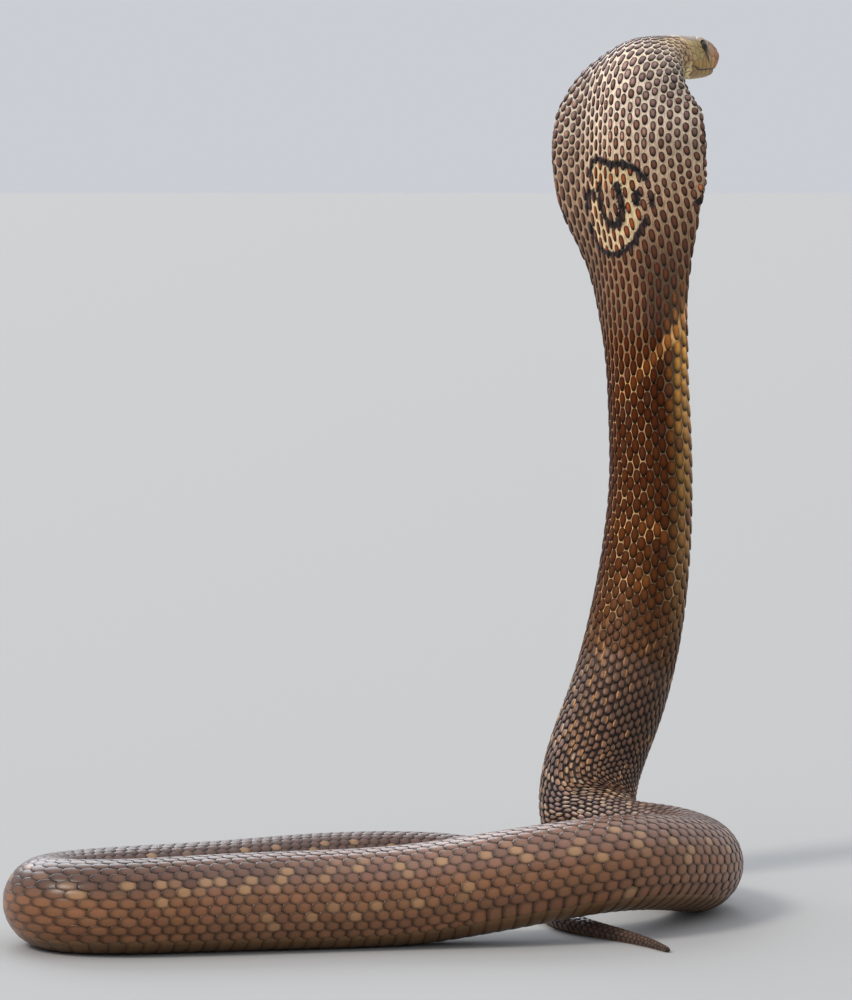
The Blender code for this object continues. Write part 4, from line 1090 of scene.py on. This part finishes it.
# Points of the scales: a runs from -1 at the front to 1 at the rear, b from side to side, and out
# from 0 in the middle to 1 at the outline.
def scalePatches(scale):
    s = scale["s"][:, None]
    flank = scale["flank"][:, None]
    power = readTable(s, coat["power"])
    steep = readTable(s, coat["steep"])
    pointed = readTable(s, coat["spindle"])
    six = readTable(s, coat["hexagon"]) * (1.0 - 0.75 * flank)
    depth = np.maximum(coatDepth(s), 0.12)
    dome = readTable(s, coat["dome"]) * (0.6 + 0.4 * scale["fanned"][:, None])
    tilt = readTable(s, coat["tilt"]) + 0.30 * flank
    sectors = coat["sectors"]
    angle = 2.0 * math.pi * np.arange(sectors) / sectors
    ahead = np.abs(np.cos(angle))[None]
    aside = np.abs(np.sin(angle))[None]
    oval = (ahead ** power + aside ** power) ** (-1.0 / power)
    hexagon = (aside ** 8 + (ahead + 0.22 * aside) ** 8) ** (-1.0 / 8.0)
    spindle = (ahead ** 7 + (aside + coat["spindleEnd"] * ahead) ** 7) ** (-1.0 / 7.0)
    outline = oval * (1.0 - six) + (hexagon * (1.0 - pointed) + spindle * pointed) * six
    rings = np.array([0.5, 0.84, 1.0, 0.97])
    a = (rings[None, :, None] * (np.cos(angle) * outline)[:, None]).reshape(len(s), -1)
    b = (rings[None, :, None] * (np.sin(angle) * outline)[:, None]).reshape(len(s), -1)
    a = np.pad(a, ((0, 0), (1, 1)))
    b = np.pad(b, ((0, 0), (1, 1))) * (1.0 - 0.10 * a)
    out = np.concatenate([[0.0], np.repeat(rings, sectors), [0.0]])[None]
    rise = tilt * (0.5 + 0.5 * a) ** 1.2 + dome * (1.0 - out ** steep) - 0.02
    raised = -depth + depth / body["coat"] * rise
    raised[:, 1 + 3 * sectors:] = -1.35 * depth
    reach = np.clip(s + a * scale["long"][:, None] / 2.0, 0.1, total - 0.1)
    turn = rowPlace(scale["k"][:, None], reach) + scale["shift"][:, None]
    turn = (turn + b * scale["wide"][:, None] / 2.0) / girthAt(reach)
    return onSurface(reach, turn, raised), a, b, out, reach, turn


def patchFaces(count, sectors):
    ring = np.arange(sectors)
    after = (ring + 1) % sectors
    tris = [np.stack([np.zeros(sectors, int), 1 + ring, 1 + after], 1)]
    bottom = 1 + 4 * sectors
    tris.append(np.stack([np.full(sectors, bottom), 1 + 3 * sectors + after, 1 + 3 * sectors + ring], 1))
    quads = []
    for level in range(3):
        low = 1 + level * sectors
        quads.append(np.stack([low + ring, low + sectors + ring, low + sectors + after, low + after], 1))
    start = (np.arange(count) * (bottom + 1))[:, None, None]
    tris = (np.concatenate(tris)[None] + start).reshape(-1, 3)
    quads = (np.concatenate(quads)[None] + start).reshape(-1, 4)
    return [tris, quads]


def bakeMap(made, loops, uv):  # each scale is a small patch at its root's place on the unwrap
    layer = made.data.uv_layers.new(name="OFBake")
    layer.data.foreach_set("uv", uv[loops].astype(np.float32).ravel())


# Colours of the scales: the body's tone times a chance shade, with a painted highlight in the core and
# painted shade at the rim, a painted highlight at the front and painted shade at the rear, and the pale
# bands, edges and dashes mixed in.
def scaleColours(scale, a, b, out, reach, turn):
    s, around = scale["s"], scale["around"]
    flank = scale["flank"][:, None]
    ringed = scale["ringed"][:, None]
    n = len(s)
    tone = scaleTone(reach, placeRound(reach, turn))
    shade = 1.0 + scale["uneven"][:, None] * chance.uniform(-1.0, 1.0, (n, 1))
    shade = shade + chance.uniform(-0.012, 0.012, (n, 3))
    tone = tone * shade[:, None]
    redder = chance.random(n) < readTable(s, coat["redder"])
    tone = mix(tone, coat["redTone"], 0.55 * redder[:, None])
    tone = mix(tone, tones["tan"], 0.62 * spotShare(s, around)[:, None])
    # painted shade along the outline and a painted highlight in the middle, both stronger on the upper hood
    rim = readTable(s, coat["paintedRimShade"])[:, None] * fade(out, 0.45, 0.95)
    rim = rim * (1.0 + 0.3 * ringed) * (1.0 - 0.5 * flank)
    core = readTable(s, coat["core"])[:, None] * (1.0 - fade(out, 0.0, 0.8))
    core = core + 0.5 * ringed * (1.0 - fade(out, 0.1, 0.7))
    tone = tone * (1.02 + core - rim)[..., None]
    banded = (0.15 + 0.55 * fade(-around, 2.0, 18.0)) * np.where(s < 240.0, 1.0, 0.5)
    banded = banded * (bandShare(s, around) > 0.45) * chance.uniform(0.6, 1.0, n)
    tone = mix(tone, tones["bandScale"], banded[:, None] * (1.0 - 0.5 * fade(out, 0.6, 1.0)))
    likely = 0.55 * bump(around, readTable(s, coat["ridgeAt"]), 7.0) * readTable(s, coat["ridge"])
    likely = likely + readTable(s, coat["paleLikely"])
    pale = readTable(s, coat["paleEdge"]) * (chance.random(n) < likely)
    pale = pale * (bellyShare(s, around) < 0.5)
    lit = np.where(chance.random(n) < 0.6, -1.0, 1.0)[:, None]  # one side edge of a scale is pale
    cream = np.where(chance.random(n) < 0.25, 0.75, 1.0)[:, None, None] * np.array(coat["cream"])
    warm = (around < 3.0) & (s < 432.0)
    cream = np.where(warm[:, None, None], cream * np.array(coat["warmCream"]), cream)
    tone = mix(tone, cream, pale[:, None] * fade(b * lit, 0.42, 0.72))
    # painted highlight at the front end, painted shade at the rear end, more so on the flanks
    front = readTable(s, coat["front"])[:, None] + 0.45 * flank
    tone = tone * (1.0 + front * fade(-a, 0.2, 0.9))[..., None]
    rear = readTable(s, coat["rear"])[:, None] + 0.2 * flank
    tone = tone * (1.0 - rear * fade(a, 0.2, 1.0))[..., None]
    dashed = chance.random(n) < readTable(s, coat["dashed"])
    dash = 0.75 * dashed[:, None] * (1.0 - fade(np.abs(b + 0.3), 0.1, 0.45))
    return mix(tone, coat["dashTone"], dash * fade(-np.abs(a), -1.0, -0.6))


def addScales(name, keep, slot, s, around, k):
    scale = sizeScales(s[keep], around[keep], k[keep])
    points, a, b, out, reach, turn = scalePatches(scale)
    tone = scaleColours(scale, a, b, out, reach, turn)
    s = scale["s"]
    each = points.shape[1]
    gloss = np.repeat(readTable(s, coat["gloss"]), each)
    made, loops = putMesh(name, points.reshape(-1, 3), patchFaces(len(s), coat["sectors"]),
                          tone.reshape(-1, 3), gloss)
    u = 0.01 + 0.98 * (s - s.min()) / (s.max() - s.min() + 1.0)
    v = 0.5 + 0.96 * scale["around"] / girthAt(s)
    half = coat["patch"] * np.where(np.arange(each) >= 1 + 3 * coat["sectors"], 0.8, 1.0)
    uv = np.stack([u[:, None] + a * half, v[:, None] + b * half], -1)
    bakeMap(made, loops, uv.reshape(-1, 2))
    finish = {**finishes["scales"], "specular": coat["shine"][name]}
    made.data.materials.append(toneMaterial("coat_" + name, finish))
    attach(made, "root")
    print(name + ":", len(s), "scales", len(made.data.loops) - 2 * len(made.data.polygons), "triangles")


# Belly scutes: broad plates, one to each scale of a row, each a thin slab whose free rear edge
# stands over the next one. Behind the vent they are in pairs.
scutes = {
    "across": 13,
    "along": 5,
    "overlap": 1.22,
    "thick": 0.30,
    "rise": 0.42,
}


def slabFaces(count, rows, columns):
    r = np.arange(rows - 1)[:, None]
    c = np.arange(columns - 1)[None]
    here = r * columns + c
    top = np.stack([here, here + 1, here + columns + 1, here + columns], -1).reshape(-1, 4)
    size = rows * columns
    bottom = top[:, ::-1] + size
    left = np.arange(columns - 1)
    rim = np.concatenate([left, columns - 1 + columns * np.arange(rows - 1),
                          size - 1 - left, (rows - 1) * columns - columns * np.arange(rows - 1)])
    after = np.roll(rim, -1)
    sides = np.stack([rim, rim + size, after + size, after], 1)
    block = np.concatenate([top, bottom, sides])
    start = (np.arange(count) * 2 * size)[:, None, None]
    return (block[None] + start).reshape(-1, 4)


def addScutes(name, firstLength, lastLength, low, high):
    number = np.arange(math.ceil(np.interp(firstLength, fineLengths, fineCount)),
                       math.floor(np.interp(lastLength, fineLengths, fineCount)))
    s = lengthOfRow(number)
    n = len(s)
    rows, columns = scutes["along"], scutes["across"]
    a = np.linspace(-1.0, 1.0, rows)[None, :, None]
    b = np.linspace(low, high, columns)[None, None]
    pitch = readTable(s, coat["pitch"])[:, None, None]
    half = readTable(s, coat["belly"])[:, None, None] * 1.06
    bow = 0.18 * pitch * (1.0 - b ** 2)  # the rear edge is bowed towards the tail
    reach = s[:, None, None] + a * pitch * scutes["overlap"] / 2.0 + bow
    reach = np.clip(reach, 1.0, total - 0.3)
    turn = 0.5 + (b * half + leanAt(reach)) / girthAt(reach)
    depth = np.maximum(coatDepth(s), 0.12)[:, None, None]
    size = depth / body["coat"]
    edge = 1.0 - 0.35 * fade(np.abs(b - (low + high) / 2.0) / ((high - low) / 2.0), 0.75, 1.0)
    top = -depth + size * (0.02 + scutes["rise"] * (0.5 + 0.5 * a) + 0.30 * (1.0 - a ** 4)) * edge
    under = np.minimum(top - size * scutes["thick"], -1.15 * depth)
    points = np.stack([onSurface(reach, turn, top), onSurface(reach, turn, under)], 1).reshape(-1, 3)
    # the belly tone, with its painted shade of the underside
    tone = colourAlong(s, tones["belly"]) * chance.uniform(0.94, 1.06, (n, 1))
    tone = tone[:, None, None] * (1.04 - 0.24 * fade(a, 0.5, 1.0)[..., None])
    tone = np.broadcast_to(tone, (n, rows, columns, 3))
    tone = np.stack([tone, tone * 0.7], 1).reshape(-1, 3)
    made, loops = putMesh(name, points, [slabFaces(n, rows, columns)], tone, np.full(len(points), 0.7))
    u = (0.01 + 0.98 * (s - s.min()) / (s.max() - s.min() + 1.0))[:, None, None]
    spread = np.stack(np.broadcast_arrays(u + a * coat["patch"], 0.5 + 0.2 * b), -1)
    uv = np.stack([spread, spread + np.array([0.0, 0.45 if low >= 0 else 0.0])], 1).reshape(-1, 2)
    bakeMap(made, loops, np.clip(uv, 0.0, 1.0))
    made.data.materials.append(toneMaterial("belly_" + name, finishes["belly"]))
    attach(made, "root")
    print(name + ":", n, "scutes")


# Eyes: a ball with a round pupil, a dark brown iris and a thin gold ring, very wet.
eye = {
    "columns": 64,
    "rows": 40,
    "pupil": 0.50,
    "ring": 0.60,
    "iris": (34, 21, 12),
    "gold": (96, 62, 28),
    "pupilTone": (8, 7, 7),
    "white": (40, 30, 24),
}


def addEye(name, node, side):
    centre, out = eyePlace(side)
    lean = np.array(Vector(out).to_track_quat("Z", "Y").to_matrix())
    down = math.pi * np.arange(1, eye["rows"])[:, None] / eye["rows"]
    turn = 2.0 * math.pi * np.arange(eye["columns"])[None] / eye["columns"]
    ball = np.broadcast_arrays(np.sin(down) * np.cos(turn), np.sin(down) * np.sin(turn), np.cos(down))
    ball = np.stack(ball, -1).reshape(-1, 3)
    ball = np.concatenate([ball, [[0, 0, 1.0], [0, 0, -1.0]]])
    points = face["eyeRadius"] * ball @ lean.T + centre
    radial = np.hypot(ball[:, 0], ball[:, 1])
    tone = mix(np.tile(np.array(eye["pupilTone"], float), (len(ball), 1)), eye["iris"],
               fade(radial, eye["pupil"] - 0.03, eye["pupil"] + 0.03))
    tone = mix(tone, eye["gold"], bump(radial, eye["ring"] - 0.04, 0.035))
    tone = mix(tone, eye["white"], fade(radial, 0.86, 0.93))
    tone = np.where((ball[:, 2] < 0.0)[:, None], np.array(eye["white"], float), tone)
    count = len(ball) - 2
    columns = eye["columns"]
    ring = np.arange(columns)
    top = np.stack([np.full(columns, count), ring, (ring + 1) % columns], 1)
    low = count - columns + ring
    foot = np.stack([np.full(columns, count + 1), count - columns + (ring + 1) % columns, low], 1)
    faces = [gridFaces(eye["rows"] - 1, columns), np.concatenate([top, foot])]
    made = putMesh(name, points, faces, tone, np.full(len(points), 1.0))[0]
    made.data.materials.append(toneMaterial(name + "Wet", finishes["eye"]))
    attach(made, "root")
    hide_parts(node)


# A wide pale floor under soft daylight: a warm key from the left, a cool one from behind for the
# sheen along the top of the coils, and an even sky.
studio = {
    "floor": (0.36, 0.355, 0.35),
    "floorReach": 60.0,
    "sky": (0.90, 0.94, 1.0),
    "skyStrength": (0.66, 1.22),  # at the horizon and overhead
    "key": ((-0.85, -0.52, 1.05), 1.75, 16.0, (1.0, 0.94, 0.86)),  # from where, strength, softness
    "back": ((-0.30, 1.0, 0.72), 1.35, 36.0, (0.86, 0.93, 1.0)),
}


def addSun(name, row):
    lamp = bpy.data.lights.new(name, "SUN")
    lamp.energy = row[1]
    lamp.angle = math.radians(row[2])
    lamp.color = row[3]
    made = bpy.data.objects.new(name, lamp)
    made.location = Vector(row[0]) * 2.0
    made.rotation_euler = (-Vector(row[0])).to_track_quat("-Z", "Y").to_euler()
    bpy.context.scene.collection.objects.link(made)


def addStudio():
    ground = bpy.data.meshes.new("floor")
    reach = studio["floorReach"]
    ground.from_pydata([(-reach, -reach, 0), (reach, -reach, 0), (reach, reach, 0), (-reach, reach, 0)],
                       [], [(0, 1, 2, 3)])
    made = bpy.data.objects.new("floor", ground)
    paint = bpy.data.materials.new("floorPaint")
    paint.use_nodes = True
    shader = paint.node_tree.nodes["Principled BSDF"]
    shader.inputs["Base Color"].default_value = (*studio["floor"], 1.0)
    shader.inputs["Roughness"].default_value = 0.85
    shader.inputs["Specular IOR Level"].default_value = 0.2
    ground.materials.append(paint)
    bpy.context.scene.collection.objects.link(made)
    sky = bpy.data.worlds.new("sky")
    sky.use_nodes = True
    nodes = sky.node_tree.nodes
    place = addNode(nodes, "TexCoord", {})
    split = addNode(nodes, "SeparateXYZ", {})
    sky.node_tree.links.new(place.outputs["Generated"], split.inputs["Vector"])
    low, high = studio["skyStrength"]
    height = addNode(nodes, "MapRange", {"From Min": 0.10, "From Max": 0.95, "To Min": low, "To Max": high})
    height.interpolation_type = "SMOOTHSTEP"
    sky.node_tree.links.new(split.outputs["Z"], height.inputs["Value"])
    nodes["Background"].inputs["Color"].default_value = (*studio["sky"], 1.0)
    sky.node_tree.links.new(height.outputs["Result"], nodes["Background"].inputs["Strength"])
    bpy.context.scene.world = sky
    addSun("key", studio["key"])
    addSun("back", studio["back"])
    bpy.context.scene.view_settings.view_transform = "Standard"


addSkin()
places = scaleLattice()
lengthsOf = places[0]
addScales("hoodScales", lengthsOf < 187.0, "hood_scales", *places)
addScales("neckScales", (lengthsOf >= 187.0) & (lengthsOf < 350.0), "neck_scales", *places)
addScales("baseScales", (lengthsOf >= 350.0) & (lengthsOf < 480.0), "neck_scales", *places)
addScales("frontScales", (lengthsOf >= 480.0) & (lengthsOf < 800.0), "body_scales", *places)
addScales("backScales", (lengthsOf >= 800.0) & (lengthsOf < 1120.0), "body_scales", *places)
addScales("tailScales", lengthsOf >= 1120.0, "tail_scales", *places)
addScutes("bellyScutes", 50.0, marks["vent"], -1.0, 1.0)
addScutes("tailScutesLeft", marks["vent"] + 2.0, total - 1.0, 0.02, 1.0)
addScutes("tailScutesRight", marks["vent"] + 2.0, total - 1.0, -1.0, -0.02)
addEye("eyeLeft", "eye_left", 1)
addEye("eyeRight", "eye_right", -1)
addStudio()
print("all pieces made")
